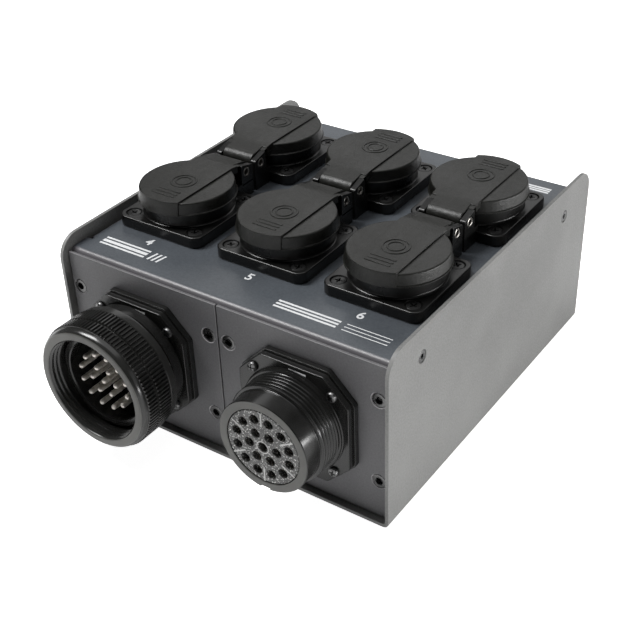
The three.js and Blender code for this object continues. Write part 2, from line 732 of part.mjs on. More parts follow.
function outletInsert() {
  const radius = OUTLET_BORE_R - CENTRE_GAP;
  const body = rod(radius, INSERT_BACK, INSERT_FACE, RING_FACETS, FRONT, axisPoint(CONNECTOR_X));
  const bottom = INSERT_FACE - INSERT_HOLE_DEPTH;
  const holes = contactCentres(CONNECTOR_X).map(
    (c) => rod(INSERT_HOLE_R, bottom, INSERT_FACE + 1, COARSE, FRONT, c),
  );
  return piece('outlet_socket_insert', cut(body, ...holes), GREY_INSERT);
}

// ---- inside the case ----

// The bundle of cores that carries the supply through from the inlet to the outlet.
function throughWiring() {
  const start = PANEL_FRONT - SHELL_BACK + 3;
  const path = new THREE.CatmullRomCurve3([
    new THREE.Vector3(-CONNECTOR_X, start, CONNECTOR_Z),
    new THREE.Vector3(-CONNECTOR_X, start + 14, CONNECTOR_Z - 3),
    new THREE.Vector3(0, start + BUNDLE_REACH_Y, BUNDLE_SAG_Z),
    new THREE.Vector3(CONNECTOR_X, start + 14, CONNECTOR_Z - 3),
    new THREE.Vector3(CONNECTOR_X, start, CONNECTOR_Z),
  ]);
  const bundle = new THREE.Shape().absarc(0, 0, BUNDLE_R, 0, 2 * Math.PI);
  const options = { steps: 14, curveSegments: 3, extrudePath: path };
  return piece('through_wiring', solid(new THREE.ExtrudeGeometry(bundle, options)), CABLE_RUBBER);
}

// The cores that feed the six sockets, as one branched bundle under them.
function feedWiring() {
  const endY = [FRONT_ROW_Y + FEED_INSET_Y, REAR_ROW_Y - FEED_INSET_Y];
  const reach = COLUMN_PITCH + FEED_TRUNK_R;
  const trunk = rod(FEED_TRUNK_R, -reach, reach, COARSE, X, [0, 0, FEED_Z]);
  const branches = [-COLUMN_PITCH, 0, COLUMN_PITCH].flatMap((x) => [
    rod(FEED_BRANCH_R, endY[0] - 2, endY[1] + 2, COARSE, Y, [x, 0, FEED_Z]),
    ...endY.map((y) => rod(FEED_BRANCH_R, FEED_Z, SOCKET_BACK - 0.3, COARSE, Z, [x, y, 0])),
  ]);
  return piece('feed_wiring', join(trunk, ...branches), CABLE_RUBBER);
}

function earthStud() {
  const nutTop = COVER_FLOOR + STUD_NUT_HEIGHT;
  const profile = [
    [0, COVER_FLOOR], [STUD_NUT_R, COVER_FLOOR], [STUD_NUT_R, nutTop], [STUD_R, nutTop],
    [STUD_R, STUD_TOP], [0, STUD_TOP],
  ];
  return piece('earth_stud', turned(profile, MEDIUM, Z, [...STUD_PLACE, 0]), BRASS);
}

// ---- the whole box ----

const box = new THREE.Group();
box.add(
  baseTray(),
  topCover(),
  frontPanel('left_front_panel', -1),
  frontPanel('right_front_panel', 1),
  backingPlate('inlet_backing_plate', -CONNECTOR_X),
  inletShell(),
  couplingRing(),
  inletPins(),
  backingPlate('outlet_backing_plate', CONNECTOR_X),
  outletShell(),
  outletInsert(),
  throughWiring(),
  feedWiring(),
  earthStud(),
);
socketCentres().forEach((centre, i) => box.add(socket(i + 1, centre)));

const screws = {
  left_panel_screw: panelScrews(-1),
  right_panel_screw: panelScrews(1),
  left_side_screw: sideScrews(-1),
  right_side_screw: sideScrews(1),
  base_screw: baseScrews(),
};
for (const [name, places] of Object.entries(screws)) {
  places.forEach((place, i) => box.add(countersunkScrew(`${name}_${i + 1}`, place)));
}

export default box;
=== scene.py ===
"""The looks of a portable power distribution box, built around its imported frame.

Shapes are built in millimetres in the frame's axes and turned into metres at the end.
"""
import json
import math

import bmesh
import bpy
from mathutils import Matrix, Vector


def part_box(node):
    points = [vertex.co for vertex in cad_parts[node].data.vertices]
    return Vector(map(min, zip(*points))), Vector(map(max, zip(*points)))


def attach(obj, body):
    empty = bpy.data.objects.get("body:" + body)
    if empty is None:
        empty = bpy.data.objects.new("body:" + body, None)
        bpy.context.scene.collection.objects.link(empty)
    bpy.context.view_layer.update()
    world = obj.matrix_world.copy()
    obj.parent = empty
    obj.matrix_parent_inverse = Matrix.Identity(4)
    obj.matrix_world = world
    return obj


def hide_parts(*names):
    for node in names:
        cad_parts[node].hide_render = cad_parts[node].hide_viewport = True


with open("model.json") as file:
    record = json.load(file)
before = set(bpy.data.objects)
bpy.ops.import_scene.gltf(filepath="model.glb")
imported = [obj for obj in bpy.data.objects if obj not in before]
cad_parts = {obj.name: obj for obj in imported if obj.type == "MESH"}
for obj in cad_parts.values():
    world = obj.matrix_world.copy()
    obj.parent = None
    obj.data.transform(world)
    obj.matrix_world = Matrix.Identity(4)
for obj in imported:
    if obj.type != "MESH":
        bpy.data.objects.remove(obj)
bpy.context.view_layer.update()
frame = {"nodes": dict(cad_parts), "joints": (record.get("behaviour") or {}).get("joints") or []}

MM = 0.001
CASE = "case"

# Local axes for a shape drawn in u and v and raised along w.
UPWARDS = Matrix.Identity(4)
FRONTWARDS = Matrix(((1, 0, 0, 0), (0, 0, -1, 0), (0, 1, 0, 0), (0, 0, 0, 1)))
SIDEWAYS = Matrix(((0, 0, 1, 0), (1, 0, 0, 0), (0, 1, 0, 0), (0, 0, 0, 1)))
DOWNWARDS = Matrix.Rotation(math.pi, 4, "X")
RIGHTWARDS = Matrix.Rotation(math.pi / 2, 4, "Y")
LEFTWARDS = Matrix.Rotation(-math.pi / 2, 4, "Y")


def box_mm(node):
    low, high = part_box(node)
    return low / MM, high / MM


# ---- places and sizes read from the frame, in millimetres ----

TRAY_LOW, TRAY_HIGH = box_mm("base_tray")
COVER_LOW, COVER_HIGH = box_mm("top_cover")
SOCKETS = range(1, 7)
HINGES = {joint["child"]: Vector(joint["pos_m"]) / MM for joint in frame["joints"]}
HINGE_Z = HINGES["lid_1"].z
AXIS_Z = HINGES["coupling_ring"].z
INLET_X = HINGES["coupling_ring"].x
OUTLET_X = sum(v.x for v in box_mm("outlet_shell")) / 2
PANEL_FRONT = box_mm("left_front_panel")[0].y
COVER_TOP = COVER_HIGH.z
BAND_TOP = box_mm("socket_1_lid")[1].z


# ---- sizes of the visual pieces, in millimetres ----

TRAY_SHEET = 1.8
TRAY_BEND = 3
WALL_CORNER = 11

COVER_SHEET = 1.5
COVER_BEND = 3.2
SIDE_FLANGE = 18
RELIEF_START = 11.5
RELIEF_END = 13.2
SOCKET_OPENING_R = 21.8
WINDOW_HALF = 32
WINDOW_LOW = 13
WINDOW_HIGH = 75

PANEL_SHEET = 1.4
PANEL_BORE_R = 23.6

PANEL_HEAD_R = 3.4
SIDE_HEAD_R = 2.8
SINK_GAP = 0.35
SCREW_SUNK = 0.15

FLANGE_HALF = 25
FLANGE_CORNER = 5
FLANGE_TOP = 90.8
SCREW_SQUARE = 38
WELL_R = 19.5
WELL_FLOOR = 83.5
CONTACT_X = 9.5
LID_HINGE_OFFSET = 31.2
EAR_OUT = 12.3
EAR_IN = 9.2
BLOCK_REACH = 36.4
PIN_R = 2.5
LID_TOP = 104.1
BAND_HALF = 11.65
NOTCH_Y = 25.0
BARREL_HALF = 8.9
BARREL_R = 4.6
NUMBER_OFFSET = 30.6
NUMBER_SIZE = 7.2

BACKING_HALF = 29.5
PLATE_HALF = 28.5
PLATE_LOW = 3.1
PLATE_HIGH = 6.3
PLATE_HOLE = 20.5
SHELL_R = 23.0
SHELL_BACK = -18
INSERT_BACK = -6
INSERT_FACE = 28.9
INNER_RING_R = 7.1
OUTER_RING_R = 14.0
HOLE_R = 2.45
GRIP_R = 32.0
GRIPS = 104
GRIP_DEPTH = 0.9
THREAD_R = 24.5
THREAD_DEPTH = 0.9
THREAD_PITCH = 2.0
THREAD_START = 9.0
THREAD_END = 19.0

PRINT_LOW = 0.005
PRINT_HIGH = 0.04
FLOOR_HALF = 3000
FLOOR_DROP = 0.05


# ---- mesh tools ----

def rounded(points, radius, steps=5):
    """The outline through the points, with each corner rounded to the radius."""
    outline = []
    count = len(points)
    for i, point in enumerate(points):
        corner = Vector(point)
        back = (Vector(points[i - 1]) - corner).normalized()
        ahead = (Vector(points[(i + 1) % count]) - corner).normalized()
        half = back.angle(ahead) / 2
        reach = radius / math.tan(half)
        centre = corner + (back + ahead).normalized() * radius / math.sin(half)
        start = corner + back * reach - centre
        end = corner + ahead * reach - centre
        for k in range(steps + 1):
            arm = start.lerp(end, k / steps).normalized() * radius
            outline.append(tuple(centre + arm))
    return outline


def circle(radius, count, centre=(0, 0), phase=0.0):
    angles = (2 * math.pi * i / count + phase for i in range(count))
    return [(centre[0] + radius * math.cos(a), centre[1] + radius * math.sin(a)) for a in angles]


def arc(centre, radius, start, end, steps=6):
    """The points of an arc between two angles, in degrees."""
    angles = (math.radians(start + (end - start) * i / steps) for i in range(steps + 1))
    return [
        (centre[0] + radius * math.cos(a), centre[1] + radius * math.sin(a)) for a in angles
    ]


def rectangle(u0, v0, u1, v1):
    return [(u0, v0), (u1, v0), (u1, v1), (u0, v1)]


def prism(outline, low, high):
    """A closed solid: the outline in u and v, raised along w from low to high."""
    bm = bmesh.new()
    floor = [bm.verts.new((u, v, low)) for u, v in outline]
    roof = [bm.verts.new((u, v, high)) for u, v in outline]
    bm.faces.new(floor[::-1])
    bm.faces.new(roof)
    for i in range(len(outline)):
        j = (i + 1) % len(outline)
        bm.faces.new((floor[i], floor[j], roof[j], roof[i]))
    bmesh.ops.recalc_face_normals(bm, faces=bm.faces)
    return bm


def revolve(profile, facets, shape=None):
    """A closed solid turned about w. The profile holds (radius, height) pairs; it starts and
    ends on the axis, or its last point is joined to its first. shape(radius, height, angle)
    may change the radius."""
    bm = bmesh.new()
    columns = []
    poles = {}
    for i in range(facets):
        angle = 2 * math.pi * i / facets
        column = []
        for j, (radius, height) in enumerate(profile):
            if radius == 0:
                if j not in poles:
                    poles[j] = bm.verts.new((0, 0, height))
                column.append(poles[j])
                continue
            r = shape(radius, height, angle) if shape else radius
            column.append(bm.verts.new((r * math.cos(angle), r * math.sin(angle), height)))
        columns.append(column)
    count = len(profile)
    last = count - 1 if profile[0][0] == 0 else count
    for i in range(facets):
        here, there = columns[i], columns[(i + 1) % facets]
        for j in range(last):
            k = (j + 1) % count
            corners = dict.fromkeys((here[j], there[j], there[k], here[k]))
            if len(corners) > 2:
                bm.faces.new(corners)
    bmesh.ops.recalc_face_normals(bm, faces=bm.faces)
    return bm


def tube_profile(inner, outer, low, high, edge=0.3):
    """The section of a tube with its four edges cut back."""
    return [
        (inner + edge, low), (outer - edge, low), (outer, low + edge), (outer, high - edge),
        (outer - edge, high), (inner + edge, high), (inner, high - edge), (inner, low + edge),
    ]


def sheet(path, columns, along):
    """An open surface: the path's points repeated at each column, joined by quads."""
    bm = bmesh.new()
    grid = [[bm.verts.new(along(point, column)) for point in path] for column in columns]
    for i in range(len(columns) - 1):
        for j in range(len(path) - 1):
            bm.faces.new((grid[i][j], grid[i + 1][j], grid[i + 1][j + 1], grid[i][j + 1]))
    return bm


def thing(name, bm, turn=UPWARDS, at=(0, 0, 0)):
    """An object, still in millimetres, from a bmesh drawn in local axes."""
    mesh = bpy.data.meshes.new(name)
    bm.to_mesh(mesh)
    bm.free()
    mesh.transform(Matrix.Translation(at) @ turn)
    obj = bpy.data.objects.new(name, mesh)
    bpy.context.scene.collection.objects.link(obj)
    return obj


def settle(obj):
    """Puts the result of the object's modifiers into its mesh."""
    graph = bpy.context.evaluated_depsgraph_get()
    mesh = bpy.data.meshes.new_from_object(obj.evaluated_get(graph))
    old = obj.data
    obj.modifiers.clear()
    obj.data = mesh
    bpy.data.meshes.remove(old)
    return obj


def combine(obj, tools, operation):
    for tool in tools:
        step = obj.modifiers.new("combine", "BOOLEAN")
        step.operation = operation
        step.solver = "EXACT"
        step.object = tool
    settle(obj)
    for tool in tools:
        mesh = tool.data
        bpy.data.objects.remove(tool)
        bpy.data.meshes.remove(mesh)
    return obj


def add(obj, *tools):
    return combine(obj, tools, "UNION")


def carve(obj, *tools):
    return combine(obj, tools, "DIFFERENCE")


def soften(obj, width, segments=2, angle=50):
    """Rounds the edges that are sharper than the angle."""
    step = obj.modifiers.new("edges", "BEVEL")
    step.width = width
    step.segments = segments
    step.limit_method = "ANGLE"
    step.angle_limit = math.radians(angle)
    step.use_clamp_overlap = True
    return settle(obj)


def thicken(obj, thickness):
    step = obj.modifiers.new("sheet", "SOLIDIFY")
    step.thickness = thickness
    step.offset = -1
    step.use_even_offset = True
    return settle(obj)


def shade(obj, angle=35):
    """Smooth shading between faces that meet at less than the angle."""
    bm = bmesh.new()
    bm.from_mesh(obj.data)
    bmesh.ops.recalc_face_normals(bm, faces=bm.faces)
    limit = math.radians(angle)
    for face in bm.faces:
        face.smooth = True
    for edge in bm.edges:
        edge.smooth = len(edge.link_faces) == 2 and edge.calc_face_angle(0) < limit
    bm.to_mesh(obj.data)
    bm.free()
    step = obj.modifiers.new("normals", "WEIGHTED_NORMAL")
    step.keep_sharp = True
    return settle(obj)


def gather(obj, *others):
    """Adds the other objects' faces to this one as they are."""
    bm = bmesh.new()
    bm.from_mesh(obj.data)
    for other in others:
        mesh = other.data
        bm.from_mesh(mesh)
        bpy.data.objects.remove(other)
        bpy.data.meshes.remove(mesh)
    bm.to_mesh(obj.data)
    bm.free()
    return obj


def present(obj, finish, body=CASE, nodes=(), angle=35):
    """Shades a piece, turns it into metres, gives it its material and body, and hides the frame nodes it
    replaces.
    """
    shade(obj, angle)
    obj.data.transform(Matrix.Scale(MM, 4))
    obj.data.materials.clear()
    obj.data.materials.append(finish)
    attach(obj, body)
    if nodes:
        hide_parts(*nodes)
    return obj


def face_finish(obj, finish, front):
    """Gives the faces that look out of the front beyond a height the second finish: a lighter satin that is
    partly a painted reflection of the bright floor in front.
    """
    obj.data.materials.append(finish)
    for polygon in obj.data.polygons:
        if polygon.normal.y < -0.6 and polygon.center.y < (PANEL_FRONT - front) * MM:
            polygon.material_index = 1


def repeat(master, name, turn, body=CASE, nodes=()):
    """Another copy of a finished piece, turned and moved by a matrix in millimetres."""
    obj = bpy.data.objects.new(name, master.data)
    bpy.context.scene.collection.objects.link(obj)
    place = turn.copy()
    place.translation = turn.translation * MM
    obj.matrix_world = place
    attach(obj, body)
    if nodes:
        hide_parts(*nodes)
    return obj


# ---- materials ----

class Nodes:
    """A small helper that adds and joins shader nodes."""

    def __init__(self, name):
        self.material = bpy.data.materials.new(name)
        self.material.use_nodes = True
        self.tree = self.material.node_tree
        self.shader = self.tree.nodes["Principled BSDF"]
        self.coords = self.tree.nodes.new("ShaderNodeTexCoord").outputs["Object"]

    def node(self, kind, inputs=None, **settings):
        made = self.tree.nodes.new(kind)
        for key, value in settings.items():
            setattr(made, key, value)
        for key, value in (inputs or {}).items():
            if isinstance(value, bpy.types.NodeSocket):
                self.tree.links.new(value, made.inputs[key])
            else:
                made.inputs[key].default_value = value
        return made

    def noise(self, scale, detail=4.0, roughness=0.55):
        values = {"Vector": self.coords, "Scale": scale, "Detail": detail, "Roughness": roughness}
        return self.node("ShaderNodeTexNoise", values).outputs["Fac"]

    def spread(self, value, low, high, start=0.3, end=0.7):
        values = {
            "Value": value, "From Min": start, "From Max": end, "To Min": low, "To Max": high,
        }
        return self.node("ShaderNodeMapRange", values).outputs["Result"]

    def tint(self, value, dark, light):
        made = self.node("ShaderNodeMix", {"Factor": value}, data_type="RGBA")
        made.inputs[6].default_value = (*dark, 1)
        made.inputs[7].default_value = (*light, 1)
        return made.outputs[2]

    def bump(self, height, distance, strength=1.0, under=None):
        values = {"Height": height, "Distance": distance, "Strength": strength}
        if under is not None:
            values["Normal"] = under
        return self.node("ShaderNodeBump", values).outputs["Normal"]

    def lean(self):
        """How far the surface leans off the object's axes: 0 on flats, 1 on bends and edges."""
        normal = self.node("ShaderNodeNewGeometry").outputs["Normal"]
        sides = self.node("ShaderNodeVectorMath", {0: normal}, operation="ABSOLUTE").outputs[0]
        x, y, z = self.node("ShaderNodeSeparateXYZ", {0: sides}).outputs
        xy = self.node("ShaderNodeMath", {0: x, 1: y}, operation="MAXIMUM").outputs[0]
        top = self.node("ShaderNodeMath", {0: xy, 1: z}, operation="MAXIMUM").outputs[0]
        return self.spread(top, 1.0, 0.0, 0.90, 0.995)

    def set(self, **inputs):
        names = {key.replace("_", " "): value for key, value in inputs.items()}
        for key, value in names.items():
            if isinstance(value, bpy.types.NodeSocket):
                self.tree.links.new(value, self.shader.inputs[key])
            else:
                self.shader.inputs[key].default_value = value
        return self.material


def scaled(color, factor):
    return tuple(channel * factor for channel in color)


def powder_coat(name, color, roughness, bend_wear_and_highlight):
    """A finely textured powder coat, lighter on bends and edges: partly rubbed wear, partly a painted
    highlight.
    """
    n = Nodes(name)
    grain = n.noise(2600, 2.0)
    speckle = n.noise(1100, 3.0, 0.7)
    cloud = n.noise(14, 3.0)
    mixed = n.node("ShaderNodeMath", {0: cloud, 1: speckle}, operation="ADD").outputs[0]
    tone = n.tint(n.spread(mixed, 0, 1, 0.75, 1.25), scaled(color, 0.78), scaled(color, 1.22))
    # Bends and edges take the lighter colour: partly wear, partly a painted highlight standing in for the
    # lamps' glint on the bends.
    bend_wear_and_highlight_mix = n.node("ShaderNodeMix", {"Factor": n.lean()}, data_type="RGBA")
    n.tree.links.new(tone, bend_wear_and_highlight_mix.inputs[6])
    n.tree.links.new(n.tint(n.spread(cloud, 0, 1), scaled(bend_wear_and_highlight, 0.85), bend_wear_and_highlight), bend_wear_and_highlight_mix.inputs[7])
    rough = n.spread(grain, roughness - 0.06, roughness + 0.06)
    coarse = n.bump(speckle, 0.00008, 0.35)
    return n.set(
        Base_Color=bend_wear_and_highlight_mix.outputs[2], Roughness=rough, Specular_IOR_Level=0.5,
        Normal=n.bump(grain, 0.00006, 0.5, coarse),
    )


def moulded(name, color, roughness, grain_size=0.00003, grain_scale=1800):
    """Moulded plastic with a fine spark-eroded grain."""
    n = Nodes(name)
    grain = n.noise(grain_scale, 3.0)
    cloud = n.noise(30, 2.0)
    tone = n.tint(n.spread(cloud, 0, 1), scaled(color, 0.9), scaled(color, 1.12))
    rough = n.spread(cloud, roughness - 0.05, roughness + 0.05)
    return n.set(Base_Color=tone, Roughness=rough, Normal=n.bump(grain, grain_size, 0.6))


def hide_grain(name, color, roughness):
    """Moulded plastic with a soft leathery grain, duller on its high spots."""
    n = Nodes(name)
    grain = n.noise(420, 6.0, 0.65)
    fine = n.noise(2200, 3.0)
    cloud = n.noise(45, 3.0)
    tone = n.tint(n.spread(grain, 0, 1), scaled(color, 0.75), scaled(color, 1.5))
    mixed = n.node("ShaderNodeMath", {0: grain, 1: cloud}, operation="ADD").outputs[0]
    rough = n.spread(mixed, roughness - 0.08, roughness + 0.1, 0.75, 1.25)
    soft = n.bump(grain, 0.0004, 0.6)
    return n.set(Base_Color=tone, Roughness=rough, Normal=n.bump(fine, 0.00005, 0.7, soft))


def bare_metal(name, color, roughness, scratch=900):
    """Metal with fine uneven polish."""
    n = Nodes(name)
    marks = n.noise(scratch, 4.0)
    return n.set(
        Base_Color=n.tint(n.spread(marks, 0, 1), scaled(color, 0.85), color), Metallic=1.0,
        Roughness=n.spread(marks, roughness - 0.06, roughness + 0.1),
        Normal=n.bump(marks, 0.00001, 0.3),
    )


def anodised(name, color, roughness):
    """Black anodised aluminium: a dark satin surface with very fine turning marks."""
    n = Nodes(name)
    marks = n.noise(700, 2.0)
    cloud = n.noise(60, 3.0)
    return n.set(
        Base_Color=n.tint(n.spread(cloud, 0, 1), scaled(color, 0.8), scaled(color, 1.25)),
        Roughness=n.spread(cloud, roughness - 0.04, roughness + 0.06),
        Specular_IOR_Level=0.55, Normal=n.bump(marks, 0.000002, 0.25),
    )


def mottled(name):
    """The grey moulding of the outlet's insert: dark, with fine pale flecks."""
    n = Nodes(name)
    fleck = n.noise(1150, 3.0, 0.6)
    broad = n.noise(260, 3.0)
    base = n.tint(n.spread(broad, 0, 1), (0.050, 0.050, 0.049), (0.105, 0.105, 0.102))
    made = n.node("ShaderNodeMix", {"Factor": n.spread(fleck, 0, 1, 0.56, 0.64)},
                  data_type="RGBA")
    n.tree.links.new(base, made.inputs[6])
    made.inputs[7].default_value = (0.70, 0.70, 0.68, 1)
    return n.set(Base_Color=made.outputs[2], Roughness=0.5, Normal=n.bump(fleck, 0.00012, 0.6))


def plated(name, color):
    """Silver-plated contacts: soft, slightly warm and a little tarnished."""
    n = Nodes(name)
    tarnish = n.noise(500, 4.0)
    tone = n.tint(n.spread(tarnish, 0, 1), scaled(color, 0.72), color)
    return n.set(
        Base_Color=tone, Metallic=0.55, Roughness=n.spread(tarnish, 0.26, 0.42),
        Normal=n.bump(tarnish, 0.00001, 0.2),
    )


def sheathed(name, color):
    """Soft cable sheath with a faint printed-on grain and a dusty tone."""
    n = Nodes(name)
    grain = n.noise(900, 3.0)
    dust = n.noise(70, 3.0)
    tone = n.tint(n.spread(dust, 0, 1), color, scaled(color, 1.7))
    return n.set(Base_Color=tone, Roughness=n.spread(dust, 0.45, 0.65),
                 Normal=n.bump(grain, 0.00003, 0.5))


def print_ink(name):
    n = Nodes(name)
    wear = n.noise(1500, 3.0)
    tone = n.tint(n.spread(wear, 0, 1), (0.72, 0.73, 0.74), (0.86, 0.87, 0.88))
    return n.set(Base_Color=tone, Roughness=0.5)


# Each coat's last colour is the lighter colour of its bends and edges: partly wear, partly a painted
# highlight, strongest on the panels' thin top edge.
COVER_PAINT = powder_coat("cover_paint", (0.080, 0.090, 0.102), 0.34, (0.145, 0.140, 0.150))
PANEL_PAINT = powder_coat("panel_paint", (0.118, 0.117, 0.122), 0.46, (0.400, 0.390, 0.400))
# The tray's coat is the same dark paint as the rest of the case, made lighter as painted light for the
# brightly lit right wall.
TRAY_PAINT_WITH_PAINTED_LIGHT = powder_coat("tray_paint", (0.200, 0.200, 0.195), 0.5, (0.270, 0.270, 0.265))
SOCKET_BLACK = moulded("socket_black", (0.0062, 0.0062, 0.0060), 0.3)
LID_BLACK = hide_grain("lid_black", (0.0080, 0.0082, 0.0066), 0.36)
SEAL_BLACK = moulded("seal_black", (0.006, 0.006, 0.006), 0.7)
PLATE_BLACK = anodised("plate_black", (0.012, 0.012, 0.0115), 0.21)
RING_BLACK = anodised("ring_black", (0.024, 0.024, 0.023), 0.22)
# The lighter satin on the front faces of the ring and the outlet nose is partly real satin, partly a painted
# reflection of the floor in front.
SATIN_FACE_AND_REFLECTION = anodised("face_satin_and_painted_reflection", (0.074, 0.074, 0.068), 0.36)
INSERT_BLACK = moulded("insert_black", (0.006, 0.006, 0.006), 0.5)
INSERT_GREY = mottled("insert_grey")
RIB_GREY = moulded("rib_grey", (0.50, 0.50, 0.49), 0.5)
SHEATH = sheathed("cable_sheath", (0.020, 0.020, 0.021))
SILVER = plated("silver", (0.82, 0.78, 0.72))
STEEL = bare_metal("steel", (0.46, 0.44, 0.41), 0.36)
DARK_STEEL = bare_metal("dark_steel", (0.20, 0.20, 0.20), 0.3)
SCREW_BLACK = bare_metal("screw_black", (0.16, 0.16, 0.16), 0.28)
SCREW_OXIDE = anodised("screw_oxide", (0.012, 0.012, 0.012), 0.32)
BRASS = bare_metal("brass", (0.72, 0.52, 0.24), 0.3)
INK = print_ink("ink")


# ---- case ----

def sink_tool(at, outwards, head):
    """The cutter for a countersunk hole whose mouth is at a point."""
    mouth = head + SINK_GAP
    profile = [(0, -9), (1.8, -9), (1.8, -2.4), (mouth, -0.5), (mouth, -0.25),
               (mouth + 0.25, 0), (mouth + 1.2, 1), (0, 1)]
    return thing("sink", revolve(profile, 40), outwards, at)


def screw_seats():
    """Every countersunk screw of the frame: its node, its face's middle, its turn, its radius."""
    seats = []
    for node in (name for name in frame["nodes"] if "screw" in name):
        low, high = box_mm(node)
        middle = (low + high) / 2
        if "panel" in node:
            seats.append((node, Vector((middle.x, low.y, middle.z)), FRONTWARDS, PANEL_HEAD_R))
        elif "base" in node:
            seats.append((node, Vector((middle.x, middle.y, low.z)), DOWNWARDS, PANEL_HEAD_R))
        elif "left" in node:
            seats.append((node, Vector((low.x, middle.y, middle.z)), LEFTWARDS, SIDE_HEAD_R))
        else:
            seats.append((node, Vector((high.x, middle.y, middle.z)), RIGHTWARDS, SIDE_HEAD_R))
    return sorted(seats, key=lambda seat: seat[0])


SEATS = screw_seats()


def sinks_for(word):
    return [sink_tool(at, turn, head) for node, at, turn, head in SEATS if word in node]


def build_tray():
    half = TRAY_HIGH.x
    top = TRAY_HIGH.z
    bend = TRAY_BEND
    path = [(-half, None)] + arc((bend - half, bend), bend, 180, 270)
    path += arc((half - bend, bend), bend, 270, 360) + [(half, None)]
    corner = arc((0, 0), WALL_CORNER, 180, 90, 10)
    front = [(TRAY_LOW.y + WALL_CORNER + u, top - WALL_CORNER + v) for u, v in corner]
    rear = [(-y, z) for y, z in reversed(front)]
    columns = front + rear

    def place(point, column):
        x, z = point
        y, wall_top = column
        return (x, y, wall_top if z is None else z)

    tray = thing("tray", sheet(path, columns, place))
    thicken(tray, TRAY_SHEET)
    soften(tray, 0.35, 3, 60)
    carve(tray, *sinks_for("side"), *sinks_for("base"))
    return present(tray, TRAY_PAINT_WITH_PAINTED_LIGHT, nodes=["base_tray"])


def side_flange(side):
    """A bent-down side of the cover: a quarter bend and a straight flange, drawn in X and Z."""
    edge, top = COVER_HIGH.x, COVER_TOP
    centre = (edge - COVER_BEND, top - COVER_BEND)
    outer = arc(centre, COVER_BEND, 90, 0)
    inner = arc(centre, COVER_BEND - COVER_SHEET, 0, 90)
    outline = [(edge - COVER_BEND - 0.6, top)] + outer + [(edge, top - SIDE_FLANGE)]
    outline += [(edge - COVER_SHEET, top - SIDE_FLANGE)] + inner
    outline += [(edge - COVER_BEND - 0.6, top - COVER_SHEET)]
    if side < 0:
        outline = [(-u, v) for u, v in reversed(outline)]
    ends = (-COVER_HIGH.y + RELIEF_END, -COVER_LOW.y - RELIEF_END)
    return thing("flange", prism(outline, *ends), FRONTWARDS)


def build_cover():
    front, rear, top = COVER_LOW.y, COVER_HIGH.y, COVER_TOP
    path = [(front, COVER_LOW.z)]
    path += arc((front + COVER_BEND, top - COVER_BEND), COVER_BEND, 180, 90)
    path += arc((rear - COVER_BEND, top - COVER_BEND), COVER_BEND, 90, 0)
    path += [(rear, COVER_LOW.z)]
    half = COVER_HIGH.x
    cover = thing("cover", sheet(path, (-half, half), lambda point, x: (x, *point)))
    thicken(cover, COVER_SHEET)
    edges = [
        thing("edge", prism(rectangle(
            side * (half - COVER_BEND), front + RELIEF_START, side * (half + 2),
            rear - RELIEF_START), top - 3, top + 1))
        for side in (-1, 1)
    ]
    carve(cover, *edges)
    add(cover, side_flange(-1), side_flange(1))
    soften(cover, 0.3, 2, 60)
    openings = []
    for number in SOCKETS:
        centre = socket_centre(number)
        bore = circle(SOCKET_OPENING_R, 64, centre)
        openings.append(thing("opening", prism(bore, top - 5, top + 5)))
    for x in (INLET_X, OUTLET_X):
        outline = rectangle(x - WINDOW_HALF, WINDOW_LOW, x + WINDOW_HALF, WINDOW_HIGH)
        window = prism(outline, -front - 4, -front + 1)
        openings.append(thing("window", window, FRONTWARDS))
    carve(cover, *openings, *sinks_for("side"), *sinks_for("panel"))
    return present(cover, COVER_PAINT, nodes=["top_cover"])


def build_panel(word, x):
    node = f"{word}_front_panel"
    low, high = box_mm(node)
    outline = rounded(rectangle(low.x, low.z, high.x, high.z), 0.6, 3)
    panel = thing(node + "_sheet", prism(outline, -low.y - PANEL_SHEET, -low.y), FRONTWARDS)
    soften(panel, 0.35, 2)
    hole = circle(PANEL_BORE_R, 64, (x, AXIS_Z))
    bore = thing("bore", prism(hole, -high.y - 2, -low.y + 2), FRONTWARDS)
    carve(panel, bore, *sinks_for(word + "_panel"))
    return present(panel, PANEL_PAINT, nodes=[node])


def socket_centre(number):
    hinge = HINGES[f"lid_{number}"]
    side = 1 if box_mm(f"socket_{number}_lid")[1].y > hinge.y + 20 else -1
    return hinge.x, hinge.y + side * LID_HINGE_OFFSET


def socket_turn(number):
    """The matrix that takes a shape drawn for a socket with its hinge towards +Y to its place."""
    x, y = socket_centre(number)
    facing = 0 if HINGES[f"lid_{number}"].y > y else math.pi
    return Matrix.Translation((x, y, 0)) @ Matrix.Rotation(facing, 4, "Z")


# ---- screws ----

def lobed(radius, depth, lobes, count=48):
    """A star-shaped drive outline with round lobes."""
    outline = []
    for i in range(count):
        angle = 2 * math.pi * i / count
        r = radius - depth * (0.5 - 0.5 * math.cos(lobes * angle))
        outline.append((r * math.cos(angle), r * math.sin(angle)))
    return outline


def cross(arm, width):
    half = width / 2
    quarter = [(arm, -half), (arm, half), (half, half)]
    outline = []
    for turn in range(4):
        c, s = (1, 0, -1, 0)[turn], (0, 1, 0, -1)[turn]
        outline += [(c * u - s * v, s * u + c * v) for u, v in quarter]
    return outline


def countersunk(name, head, drive):
    """A countersunk screw with a star drive, its face at height 0."""
    profile = [
        (0, -9), (1.2, -9), (1.5, -8.6), (1.5, -1.9), (head - 0.05, -0.55), (head, -0.4),
        (head, -0.2), (head - 0.25, -0.02), (drive + 0.5, 0.02), (0, 0.02),
    ]
    screw = thing(name, revolve(profile, 48))
    socket = thing("drive", prism(lobed(drive, drive * 0.3, 6), -1.5, 1))
    rim = thing("rim", revolve([(0, -0.12), (drive, -0.12), (drive + 0.25, 0.1), (0, 0.1)], 48))
    carve(screw, socket, rim)
    return present(screw, SCREW_BLACK)


